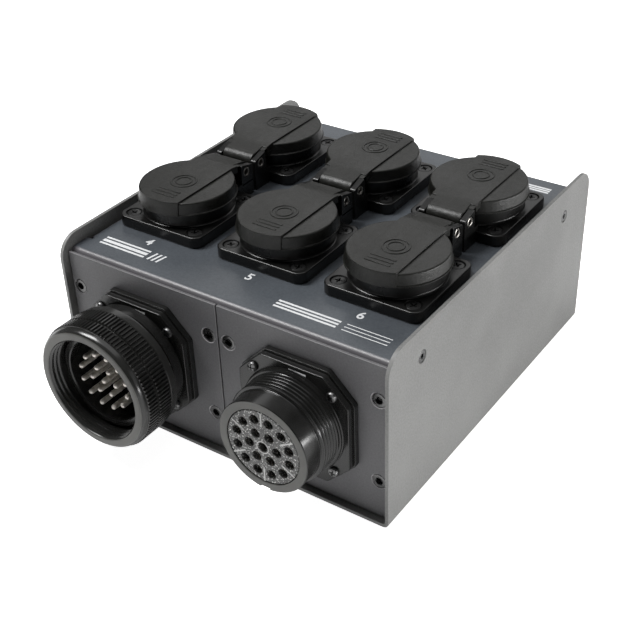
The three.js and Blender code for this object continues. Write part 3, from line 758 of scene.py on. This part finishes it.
def build_countersunk_screws():
    masters = {
        PANEL_HEAD_R: countersunk("panel_screw", PANEL_HEAD_R, 1.75),
        SIDE_HEAD_R: countersunk("side_screw", SIDE_HEAD_R, 1.35),
    }
    for index, (node, at, turn, head) in enumerate(SEATS):
        spin = Matrix.Rotation(0.9 * index, 4, "Z")
        place = Matrix.Translation(at) @ turn @ Matrix.Translation((0, 0, -SCREW_SUNK)) @ spin
        repeat(masters[head], node + "_piece", place, CASE, [node])
    for master in masters.values():
        bpy.data.objects.remove(master)


# ---- sockets, drawn about their own middle with the hinge towards +Y ----

def screw_square(half):
    """The corners of a four-screw square, counterclockwise from the front left."""
    return rectangle(-half, -half, half, half)


def ear_outline():
    """The side of a hinge ear: upright at the back, with a crest that rises to the lid."""
    corner = arc((BLOCK_REACH - 1.4, HINGE_Z + 1.3), 1.4, 0, 75, 5)
    return [(BLOCK_REACH, 92.0)] + corner + [
        (31.4, HINGE_Z + 3.7), (28.2, HINGE_Z + 4.6), (27.5, HINGE_Z + 4.6),
        (27.0, HINGE_Z + 4.0), (26.8, 92.0),
    ]


def socket_shell():
    half = FLANGE_HALF
    flange = rounded(rectangle(-half, -half, half, half), FLANGE_CORNER, 8)
    body = thing("socket_1_shell", prism(flange, COVER_TOP + 0.02, FLANGE_TOP))
    soften(body, 0.7, 3)
    low = COVER_TOP + 0.05
    hinge_block = rectangle(-EAR_OUT, 23, EAR_OUT, BLOCK_REACH)
    block = soften(thing("block", prism(hinge_block, low, 93.4)), 0.4)
    ears = [
        soften(thing("ear", prism(ear_outline(), x, x + EAR_OUT - EAR_IN), SIDEWAYS), 0.3, 2, 35)
        for x in (-EAR_OUT, EAR_IN)
    ]
    collar = thing("collar", revolve([
        (0, 55), (20.9, 55), (20.9, 88), (22.6, 88), (22.6, 91.0), (22.1, 91.3), (21.7, 92.0),
        (21.5, 100.6), (21.2, 101), (0, 101),
    ], 96))
    add(body, block, *ears, collar)
    well = thing("well", revolve([
        (0, WELL_FLOOR), (WELL_R - 0.3, WELL_FLOOR), (WELL_R, WELL_FLOOR + 0.3),
        (WELL_R, 100.6), (WELL_R + 0.5, 101.2), (WELL_R + 0.5, 103), (0, 103),
    ], 96))
    contacts = [
        thing("contact", revolve([
            (0, 70), (2.5, 70), (2.5, 82.6), (3.3, 83.6), (3.3, 85), (0, 85),
        ], 32), at=(x, 0, 0))
        for x in (-CONTACT_X, CONTACT_X)
    ]
    slots = [
        thing("slot", prism(rectangle(-3.4, side * 19.2, 3.4, side * 17.2), 70, 84))
        for side in (-1, 1)
    ]
    middle = thing("middle", revolve([(0, 81), (2.2, 81), (2.2, 85), (0, 85)], 24))
    recesses = [
        thing("recess", revolve([
            (0, 86), (1.9, 86), (1.9, 88.4), (3.7, 90.2), (3.7, 90.4), (4.1, 90.85), (4.1, 92),
            (0, 92),
        ], 40), at=(x, y, 0))
        for x, y in screw_square(SCREW_SQUARE / 2)
    ]
    bore = thing(
        "bore", revolve([
            (0, -14), (PIN_R + 0.4, -14), (PIN_R + 0.4, -12.1), (PIN_R + 0.1, -11.9),
            (PIN_R + 0.1, 11.9), (PIN_R + 0.4, 12.1), (PIN_R + 0.4, 14), (0, 14),
        ], 32),
        RIGHTWARDS, (0, LID_HINGE_OFFSET, HINGE_Z),
    )
    carve(body, well, *contacts, *slots, middle, *recesses, bore)
    return body


def lid_marks():
    """Three plain ridges and two rings, raised on the lid's band."""
    low, high = BAND_TOP - 0.2, BAND_TOP + 0.3
    marks = []
    for v in (-17.5, -15.0, -12.5):
        ridge = rounded(rectangle(-6.5, v - 0.55, 6.5, v + 0.55), 0.4, 3)
        marks.append(soften(thing("mark", prism(ridge, low, high)), 0.1, 1))
    for inner, outer in ((3.4, 4.2), (5.6, 6.6)):
        ring = revolve(tube_profile(inner, outer, low, high, 0.12), 56)
        marks.append(thing("mark", ring, at=(0, -2.0, 0)))
    return marks


def band_outline(radius):
    """The band seen from above: a round far end, straight sides and the notched arm."""
    reach = math.degrees(math.asin(BAND_HALF / radius))
    far = arc((0, 0), radius, 270 - reach, 270 + reach, 16)
    return far + [
        (BAND_HALF, NOTCH_Y), (BARREL_HALF, NOTCH_Y), (BARREL_HALF, LID_HINGE_OFFSET),
        (-BARREL_HALF, LID_HINGE_OFFSET), (-BARREL_HALF, NOTCH_Y), (-BAND_HALF, NOTCH_Y),
    ]


def lid_shell():
    cap = thing("socket_1_lid_cap", revolve([
        (0, 101.9), (22.3, 101.9), (22.6, 101.6), (22.6, 97.9), (22.8, 97.7), (24.15, 97.7),
        (24.3, 97.85), (24.3, 98.25), (24.1, 98.45), (23.85, 98.7), (23.35, 103.3),
        (23.15, 103.8), (22.8, 104.05), (22.4, LID_TOP), (0, LID_TOP),
    ], 120))
    slab = thing("slab", prism(band_outline(23.75), 102.6, BAND_TOP))
    arm_top = HINGE_Z + BARREL_R
    slope = thing("slope", prism([
        (21, 110), (21, BAND_TOP), (LID_HINGE_OFFSET, arm_top), (40, arm_top), (40, 110),
    ], -15, 15), SIDEWAYS)
    carve(slab, slope)
    soften(slab, 0.3, 2, 30)
    wedge = [
        (18, 102), (LID_HINGE_OFFSET - 4, HINGE_Z + 1.5), (LID_HINGE_OFFSET, HINGE_Z + 1),
        (LID_HINGE_OFFSET, HINGE_Z + 4.2), (22, 104.4), (18, 104.4),
    ]
    arm = thing("arm", prism(wedge, -BAND_HALF + 0.05, BAND_HALF - 0.05), SIDEWAYS)
    strip = thing("strip", revolve([
        (23.0, 98.0), (24.55, 98.0), (24.6, 98.15), (23.85, 104.3), (23.0, 104.3),
    ], 120))
    side = thing("side", prism(rectangle(-BAND_HALF, -30, BAND_HALF, 0), 90, 110))
    combine(strip, [side], "INTERSECT")
    barrel = thing("barrel", revolve([
        (0, -BARREL_HALF), (BARREL_R - 0.3, -BARREL_HALF), (BARREL_R, 0.3 - BARREL_HALF),
        (BARREL_R, BARREL_HALF - 0.3), (BARREL_R - 0.3, BARREL_HALF), (0, BARREL_HALF),
    ], 48), RIGHTWARDS, (0, LID_HINGE_OFFSET, HINGE_Z))
    add(cap, strip, slab, arm, barrel)
    notches = [
        thing("notch", prism(rectangle(x, NOTCH_Y + 0.02, x + 4, 38), 97, 103.4))
        for x in (-BARREL_HALF - 4, BARREL_HALF)
    ]
    chamber = thing("chamber", prism(rectangle(-3.3, 27.3, 3.3, 35.1), 93, HINGE_Z))
    bore = thing(
        "bore", revolve([(0, -14), (PIN_R + 0.3, -14), (PIN_R + 0.3, 14), (0, 14)], 32),
        RIGHTWARDS, (0, LID_HINGE_OFFSET, HINGE_Z),
    )
    carve(cap, *notches, chamber, bore)
    return gather(cap, *lid_marks())


def rolled_pin():
    """A pin rolled from sheet, open along one side, with rounded ends."""
    end = 12.2
    profile = [(1.4, 0.5 - end), (1.6, 0.12 - end), (1.95, -end), (2.3, 0.15 - end),
               (PIN_R, 0.6 - end)]
    section = profile + [(r, -h) for r, h in reversed(profile)]
    pin = thing("hinge_pin", revolve(section, 40), RIGHTWARDS)
    slit = thing("slit", prism(rectangle(-3, -0.15, 0, 0.15), -14, 14), RIGHTWARDS)
    carve(pin, slit)
    pin.data.transform(Matrix.Translation((0, LID_HINGE_OFFSET, HINGE_Z)))
    return pin


def coil_spring():
    """A close-wound spring round the hinge pin, with round wire."""
    turns, wire, radius, length = 6, 0.4, 3.2, 5.2
    steps, sides = 24 * turns, 8
    bm = bmesh.new()
    rings = []
    for i in range(steps + 1):
        angle = 2 * math.pi * i * turns / steps
        x = -length / 2 + length * i / steps
        out = Vector((0, math.cos(angle), math.sin(angle)))
        centre = Vector((x, LID_HINGE_OFFSET, HINGE_Z)) + out * radius
        ring = []
        for k in range(sides):
            a = 2 * math.pi * k / sides
            aside = Vector((wire * math.sin(a), 0, 0))
            ring.append(bm.verts.new(centre + out * wire * math.cos(a) + aside))
        rings.append(ring)
    for here, there in zip(rings, rings[1:]):
        for k in range(sides):
            m = (k + 1) % sides
            bm.faces.new((here[k], here[m], there[m], there[k]))
    bm.faces.new(rings[0][::-1])
    bm.faces.new(rings[-1])
    bmesh.ops.recalc_face_normals(bm, faces=bm.faces)
    return thing("lid_spring", bm)


def earth_clip():
    """One strip that comes up on both sides of the well and is joined below its floor."""
    strip = [(-18.5, 97), (-17.6, 92), (-16.6, 88), (-17.4, 82), (-17.4, 67)]
    inner = [(u + 0.8, v) for u, v in strip]
    left = strip + inner[::-1]
    bridge = rectangle(-17.4, 66.2, 17.4, 67)
    clip = thing("earth_clip", prism(left, -3, 3), SIDEWAYS)
    right = thing("clip_side", prism([(-u, v) for u, v in left][::-1], -3, 3), SIDEWAYS)
    floor = thing("clip_floor", prism(bridge, -3, 3), SIDEWAYS)
    return add(clip, right, floor)


def flange_screw():
    """A countersunk screw with a cross recess, a little below the top of the flange."""
    profile = [
        (0, 80), (1.4, 80), (1.4, 88.3), (3.35, 90.05), (3.4, 90.25), (3.2, 90.45), (2.2, 90.6),
        (0, 90.65),
    ]
    screw = thing("flange_screw", revolve(profile, 40))
    recess = thing("drive", prism(cross(1.95, 0.75), 89.4, 92))
    hollow = thing("hollow", revolve([(0, 90.25), (1.0, 90.35), (1.5, 90.9), (0, 90.9)], 24))
    return carve(screw, recess, hollow)


def number_print(number):
    curve = bpy.data.curves.new(f"number_{number}", "FONT")
    curve.body = str(number)
    curve.size = NUMBER_SIZE
    curve.offset = 0.16
    curve.extrude = 0.02
    curve.align_x = "CENTER"
    curve.align_y = "CENTER"
    curve.resolution_u = 8
    text = bpy.data.objects.new("text", curve)
    bpy.context.scene.collection.objects.link(text)
    graph = bpy.context.evaluated_depsgraph_get()
    mesh = bpy.data.meshes.new_from_object(text.evaluated_get(graph))
    bpy.data.objects.remove(text)
    x, y = socket_centre(number)
    side = -1 if HINGES[f"lid_{number}"].y > y else 1
    mesh.transform(Matrix.Translation((x, y + side * NUMBER_OFFSET, COVER_TOP + 0.03)))
    obj = bpy.data.objects.new(f"number_{number}", mesh)
    bpy.context.scene.collection.objects.link(obj)
    return present(obj, INK)


def build_sockets():
    masters = {
        "shell": (present(socket_shell(), SOCKET_BLACK), "socket_plastic"),
        "hinge_pin": (present(rolled_pin(), STEEL), "bright_steel"),
        "lid_spring": (present(coil_spring(), STEEL), "bright_steel"),
        "earth_clip": (present(earth_clip(), SILVER), "silver_contact"),
        "lid_cap": (present(lid_shell(), LID_BLACK), "socket_plastic"),
    }
    seal = thing("lid_seal", revolve([
        (20.2, 101.2), (22.1, 101.2), (22.3, 101.4), (22.3, 101.95), (20.0, 101.95),
        (20.0, 101.4),
    ], 80))
    masters["lid_seal"] = (present(seal, SEAL_BLACK), "socket_plastic")
    screw = present(flange_screw(), SCREW_OXIDE)
    replaced = {
        "shell": "body", "hinge_pin": "hinge_pin", "lid_spring": "lid_spring",
        "earth_clip": "earth_clip", "lid_cap": "lid",
    }
    for number in SOCKETS:
        turn = socket_turn(number)
        for key, (master, slot) in masters.items():
            body = f"lid_{number}" if key in ("lid_cap", "lid_seal") else CASE
            nodes = [f"socket_{number}_{replaced[key]}"] if key in replaced else []
            repeat(master, f"socket_{number}_{key}_piece", turn, body, nodes)
        for i, (x, y) in enumerate(screw_square(SCREW_SQUARE / 2)):
            spin = Matrix.Rotation(0.4 + 1.1 * i + number, 4, "Z")
            place = turn @ Matrix.Translation((x, y, 0)) @ spin
            repeat(screw, f"socket_{number}_screw_{i + 1}", place, CASE)
        number_print(number)
    for master, _ in masters.values():
        bpy.data.objects.remove(master)
    bpy.data.objects.remove(screw)


# ---- connectors: w runs out of the front from the face of the panels ----

def chamfered(half, chamfer):
    inner = half - chamfer
    return [
        (-inner, -half), (inner, -half), (half, -inner), (half, inner),
        (inner, half), (-inner, half), (-half, inner), (-half, -inner),
    ]


def on_axis(x):
    return (x, PANEL_FRONT, AXIS_Z)


def contact_places():
    places = [(0, 0)]
    places += circle(INNER_RING_R, 6)
    places += circle(OUTER_RING_R, 12, phase=math.pi / 12)
    return places


def build_backing(word, x):
    outline = rounded(chamfered(BACKING_HALF, 13), 2.5, 4)
    plate = thing(word + "_backing", prism(outline, 0.05, 3.0), FRONTWARDS, on_axis(x))
    soften(plate, 0.35, 2)
    bore = thing("bore", prism(circle(PANEL_BORE_R, 64), -2, 5), FRONTWARDS, on_axis(x))
    carve(plate, bore)
    return present(plate, PLATE_BLACK, nodes=[f"{word}_backing_plate"])


def flanged(name, x, profile, facets=128, shape=None):
    """A connector's shell: a square flange plate and a turned barrel through it."""
    outline = rounded(chamfered(PLATE_HALF, 12), 2.5, 4)
    plate = thing(name, prism(outline, PLATE_LOW, PLATE_HIGH), FRONTWARDS, on_axis(x))
    soften(plate, 0.4, 3)
    bore = thing("bore", prism(circle(22.0, 64), -2, 9), FRONTWARDS, on_axis(x))
    carve(plate, bore)
    turned = thing("turned", revolve(profile, facets, shape), FRONTWARDS, on_axis(x))
    return gather(plate, turned)


def inlet_sleeve_profile():
    return [
        (21.0, SHELL_BACK), (SHELL_R, SHELL_BACK), (SHELL_R, 5.9), (26.2, 5.9), (26.2, 7.4),
        (27.6, 7.4), (27.9, 7.7),
        (27.9, 12.6), (27.5, 13.0), (26.9, 13.2), (26.9, 15.0), (24.2, 15.0), (24.2, 30.1),
        (23.9, 30.5), (21.5, 30.5), (21.0, 30.05),
    ]


def grip(radius, height, angle):
    """Cuts the grip bands of the coupling ring into ribs along its axis."""
    if radius < GRIP_R:
        return radius
    rib = math.cos(GRIPS * angle)
    return radius - GRIP_DEPTH * min(1.0, max(0.0, 0.5 - 1.6 * rib))


def ring_profile():
    """The coupling ring's section, from the rear bore out over the grip bands to the front."""
    return [
        (24.6, 15.4), (30.4, 15.4), (31.2, 15.9), (31.4, 16.8), (31.4, 19.6), (31.0, 20.0),
        (31.0, 20.3), (31.6, 20.3), (GRIP_R, 20.6), (GRIP_R, 28.1), (31.6, 28.4), (31.0, 28.5),
        (31.0, 29.1), (31.6, 29.2), (GRIP_R, 29.5), (GRIP_R, 34.9), (31.5, 35.2), (31.15, 35.3),
        (31.15, 36.2), (30.7, 37.8), (29.9, 38.6), (29.2, 39.0), (26.6, 39.0), (26.2, 38.7),
        (26.0, 38.2), (25.3, 37.6), (25.3, 36.9), (25.9, 36.3), (25.9, 35.8), (25.2, 35.2),
        (25.2, 34.5), (25.9, 33.9), (25.9, 33.4), (25.2, 32.8), (25.2, 32.0), (25.9, 31.4),
        (25.9, 22.0), (24.6, 21.5),
    ]


def build_inlet():
    build_backing("inlet", INLET_X)
    shell = flanged("inlet_shell_piece", INLET_X, inlet_sleeve_profile())
    present(shell, PLATE_BLACK, nodes=["inlet_shell"])
    ring = thing("coupling_ring_piece", revolve(ring_profile(), GRIPS * 6, grip), FRONTWARDS,
                 on_axis(INLET_X))
    present(ring, RING_BLACK, "coupling_ring", ["inlet_coupling_ring"], 30)
    face_finish(ring, SATIN_FACE_AND_REFLECTION, 38.3)
    insert = thing("inlet_insert_piece", revolve([
        (0, INSERT_BACK), (20.6, INSERT_BACK), (20.6, 12.6), (20.2, 13), (17.6, 13), (17.2, 12.4), (0, 12.4),
    ], 96), FRONTWARDS, on_axis(INLET_X))
    present(insert, INSERT_BLACK, nodes=["inlet_pin_insert"])
    pin = [
        (0, 11), (1.6, 11), (1.6, 13.2), (1.35, 13.5), (1.35, 29.9), (1.2, 30.5), (0.8, 30.9),
        (0, 31.05),
    ]
    pins = [
        thing("inlet_pins", revolve(pin, 24), FRONTWARDS,
              (INLET_X + u, PANEL_FRONT, AXIS_Z + v))
        for u, v in contact_places()
    ]
    present(gather(*pins), SILVER)


def thread(radius, height, angle):
    """A rounded helical thread on the outlet's barrel, fading at both ends."""
    if radius < THREAD_R or not THREAD_START < height < THREAD_END:
        return radius
    phase = (height - THREAD_START) / THREAD_PITCH - angle / (2 * math.pi)
    wave = 0.5 + 0.5 * math.cos(2 * math.pi * phase)
    fade = min(1.0, (height - THREAD_START) / 0.8, (THREAD_END - height) / 0.8)
    return radius - THREAD_DEPTH * fade * wave ** 1.5


def outlet_profile():
    steps = 50
    length = THREAD_END - THREAD_START
    threaded = [(THREAD_R, THREAD_START + length * i / steps) for i in range(steps + 1)]
    return [
        (18.9, SHELL_BACK), (SHELL_R, SHELL_BACK), (SHELL_R, 5.9), (26.2, 5.9), (26.2, 6.9),
        (25.8, 7.2),
        (25.8, 8.2), (25.4, 8.6), (24.7, 8.7),
    ] + threaded + [
        (24.2, 19.3), (23.2, 19.5), (SHELL_R, 19.8), (SHELL_R, 28.7), (22.7, 29.1), (22.3, 29.2),
        (19.2, 29.2), (18.9, 28.9),
    ]


def build_outlet():
    build_backing("outlet", OUTLET_X)
    shell = flanged("outlet_shell_piece", OUTLET_X, outlet_profile(), 160, thread)
    keyway = thing("keyway", prism(rectangle(-2.6, -24.5, 2.6, -21.6), 23.5, 31), FRONTWARDS,
                   on_axis(OUTLET_X))
    carve(shell, keyway)
    present(shell, PLATE_BLACK, nodes=["outlet_shell"])
    face_finish(shell, SATIN_FACE_AND_REFLECTION, 28.5)
    build_outlet_insert()


def hole_line(radius, width, low, high):
    """A fine raised ring on the face of the insert."""
    return revolve(tube_profile(radius - width / 2, radius + width / 2, low, high, 0.08), 32)


def build_outlet_insert():
    x = OUTLET_X
    face = INSERT_FACE
    insert = thing("outlet_insert_piece", revolve([
        (0, INSERT_BACK), (18.6, INSERT_BACK), (18.6, face - 0.3), (18.3, face), (0, face),
    ], 96), FRONTWARDS, on_axis(x))
    holes = [
        thing("hole", revolve([(0, 12), (HOLE_R, 12), (HOLE_R, face + 2), (0, face + 2)], 28),
              FRONTWARDS, (x + u, PANEL_FRONT, AXIS_Z + v))
        for u, v in contact_places()
    ]
    carve(insert, *holes)
    present(insert, INSERT_GREY, nodes=["outlet_socket_insert"])
    ribs = []
    for i in range(6):
        arm = Matrix.Rotation(math.radians(60 * i + 30), 4, "Z")
        bar = thing("outlet_insert_ribs", prism(rectangle(11.0, -0.32, 18.4, 0.32), face - 0.2,
                                                face + 0.25), FRONTWARDS @ arm, on_axis(x))
        ribs.append(soften(bar, 0.12, 1))
        spoke = thing("spoke", prism(rectangle(3.4, -0.2, 4.6, 0.2), face - 0.2, face + 0.15),
                      FRONTWARDS @ arm, on_axis(x))
        ribs.append(spoke)
    ribs.append(thing("ring", hole_line(3.0, 0.4, face - 0.2, face + 0.2), FRONTWARDS,
                      on_axis(x)))
    present(gather(*ribs), RIB_GREY)
    tubes = [
        thing("outlet_contacts", revolve(tube_profile(1.5, 2.1, 13, 24.5, 0.15), 24), FRONTWARDS,
              (x + u, PANEL_FRONT, AXIS_Z + v))
        for u, v in contact_places()
    ]
    present(gather(*tubes), BRASS)


def build_plate_screws():
    profile = [
        (0, -4), (1.5, -4), (1.5, PLATE_HIGH), (2.5, PLATE_HIGH), (2.5, PLATE_HIGH + 0.7),
        (2.2, PLATE_HIGH + 1.3), (1.5, PLATE_HIGH + 1.6), (0, PLATE_HIGH + 1.7),
    ]
    master = thing("plate_screw", revolve(profile, 32))
    carve(master, thing("drive", prism(cross(1.5, 0.6), PLATE_HIGH + 0.7, 10)))
    present(master, DARK_STEEL)
    for word, x in (("inlet", INLET_X), ("outlet", OUTLET_X)):
        for i, (u, v) in enumerate(screw_square(PLATE_HOLE)):
            spin = Matrix.Rotation(0.5 + 0.9 * i, 4, "Z")
            at = Matrix.Translation((x + u, PANEL_FRONT, AXIS_Z + v))
            place = at @ FRONTWARDS @ spin
            repeat(master, f"{word}_plate_screw_{i + 1}", place, CASE)
    bpy.data.objects.remove(master)


# ---- prints: plain bars in place of printed names ----

def print_bar(u0, v0, u1, v1, slant=0.0):
    """A flat printed bar on the cover, its far edge moved along by the slant."""
    outline = [(u0, v0), (u1, v0), (u1 + slant, v1), (u0 + slant, v1)]
    return thing("print", prism(outline, COVER_TOP + PRINT_LOW, COVER_TOP + PRINT_HIGH))


def stripes(name, u0, u1, edges, slant=0.0):
    """Plain parallel stripes between pairs of edges."""
    bars = [print_bar(u0, low, u1, high, slant * (high - low)) for low, high in edges]
    bars[0].name = name
    return gather(*bars)


def build_prints():
    left = stripes("left_print", -80.5, -53.0, [(-81.6, -80.4), (-79.4, -77.4), (-76.4, -75.2)])
    ticks = [print_bar(u, -81.6, u + 1.1, -75.2, 1.2) for u in (-51.0, -48.4, -45.8)]
    present(gather(left, *ticks), INK)
    right = stripes("right_print", 22.5, 55.0, [(-82.6, -81.4), (-80.4, -79.2), (-78.2, -77.0)])
    thin = stripes("thin", 58.0, 80.5, [(-82.4, -81.9), (-80.1, -79.6), (-77.8, -77.3)])
    present(gather(right, thin), INK)
    rear = stripes("rear_print", 57.0, 80.0, [(71.4, 72.8), (73.4, 74.6), (75.2, 76.6)])
    present(rear, INK)


def dress_frame():
    """Finishes for the frame's own pieces that stay as they are, inside the case."""
    for word, finish in (("wiring", SHEATH), ("earth_stud", BRASS)):
        for name, obj in frame["nodes"].items():
            if word in name:
                obj.data.materials.clear()
                obj.data.materials.append(finish)


def build_plate_prints():
    """A plain mark near the top edge of each flange plate."""
    for word, x in (("inlet", INLET_X), ("outlet", OUTLET_X)):
        high = PLATE_HIGH + 0.03
        bar = thing(f"{word}_plate_print", prism(rectangle(-1.5, 25.6, 7.5, 26.5), 6.2, high),
                    FRONTWARDS, on_axis(x))
        present(bar, INK)


# ---- stage ----

# How brightly the white floor shines on the object, in its reflections and in the picture.
FLOOR_GLOW = 0.72
FLOOR_SHEEN = 0.3
FLOOR_SEEN = 0.95


def build_stage():
    bm = bmesh.new()
    half = FLOOR_HALF
    corners = [bm.verts.new((u, v, -FLOOR_DROP)) for u, v in rectangle(-half, -half, half, half)]
    bm.faces.new(corners)
    floor = thing("floor", bm)
    floor.data.transform(Matrix.Scale(MM, 4))
    n = Nodes("floor_paper")
    fleck = n.noise(60, 2.0)
    pale = n.tint(n.spread(fleck, 0, 1), (0.87, 0.87, 0.87), (0.89, 0.89, 0.89))
    rays = n.node("ShaderNodeLightPath").outputs
    indirect = n.spread(rays["Is Glossy Ray"], FLOOR_GLOW, FLOOR_SHEEN, 0, 1)
    glow = n.spread(rays["Is Camera Ray"], indirect, FLOOR_SEEN, 0, 1)
    floor.data.materials.append(n.set(
        Base_Color=pale, Roughness=0.9, Emission_Color=(1, 1, 1, 1), Emission_Strength=glow,
    ))


def softbox(name, at, aim, size, power):
    """A rectangular area light, in metres and watts, turned towards a point."""
    light = bpy.data.lights.new(name, "AREA")
    light.shape = "RECTANGLE"
    light.size, light.size_y = size
    light.energy = power
    obj = bpy.data.objects.new(name, light)
    bpy.context.scene.collection.objects.link(obj)
    at, aim = Vector(at), Vector(aim)
    turn = (aim - at).to_track_quat("-Z", "Y").to_matrix().to_4x4()
    obj.matrix_world = Matrix.Translation(at) @ turn


def build_lights():
    """A low strip for the right wall, soft boxes for the rest, and no ambient light."""
    middle = (0, 0, 0.05)
    softbox("right_low", (1.25, 0.25, 0.06), middle, (1.2, 0.12), 8.5)
    softbox("right_high", (1.25, 0.15, 0.42), middle, (1.1, 0.8), 1.2)
    softbox("back_box", (-0.3, 1.15, 0.9), middle, (1.7, 0.7), 4.2)
    softbox("top_box", (0.0, 0.1, 1.3), middle, (1.2, 1.0), 4)
    softbox("key_box", (-0.68, -0.28, 1.27), middle, (0.45, 0.7), 18)
    world = bpy.data.worlds.new("studio")
    bpy.context.scene.world = world
    world.use_nodes = True
    tree = world.node_tree
    ground = tree.nodes["Background"]
    ground.inputs["Color"].default_value = (1, 1, 1, 1)
    rays = tree.nodes.new("ShaderNodeLightPath")
    strength = tree.nodes.new("ShaderNodeMapRange")
    strength.inputs["To Min"].default_value = 0.02
    strength.inputs["To Max"].default_value = 1.0
    tree.links.new(rays.outputs["Is Camera Ray"], strength.inputs["Value"])
    tree.links.new(strength.outputs["Result"], ground.inputs["Strength"])
    bpy.context.scene.view_settings.view_transform = "Standard"


def build_camera():
    azimuth, elevation, roll = (math.radians(a) for a in (35.643, 33.8, -2.215))
    distance = 0.64728
    target = Vector((-0.02754, 0.0186, 0.00458))
    back = Vector((
        math.sin(azimuth) * math.cos(elevation),
        -math.cos(azimuth) * math.cos(elevation),
        math.sin(elevation),
    ))
    right = Vector((0, 0, 1)).cross(back).normalized()
    up = back.cross(right)
    turned_right = right * math.cos(roll) + up * math.sin(roll)
    turned_up = up * math.cos(roll) - right * math.sin(roll)
    data = bpy.data.cameras.new("camera")
    data.sensor_width = 36
    data.lens = 67.18
    data.clip_start = 0.01
    camera = bpy.data.objects.new("camera", data)
    bpy.context.scene.collection.objects.link(camera)
    basis = Matrix((turned_right, turned_up, back)).transposed().to_4x4()
    camera.matrix_world = Matrix.Translation(target + back * distance) @ basis
    bpy.context.scene.camera = camera


build_tray()
build_cover()
build_panel("left", INLET_X)
build_panel("right", OUTLET_X)
build_countersunk_screws()
build_sockets()
build_inlet()
build_outlet()
build_plate_screws()
build_prints()
build_plate_prints()
dress_frame()
build_stage()
build_lights()
build_camera()
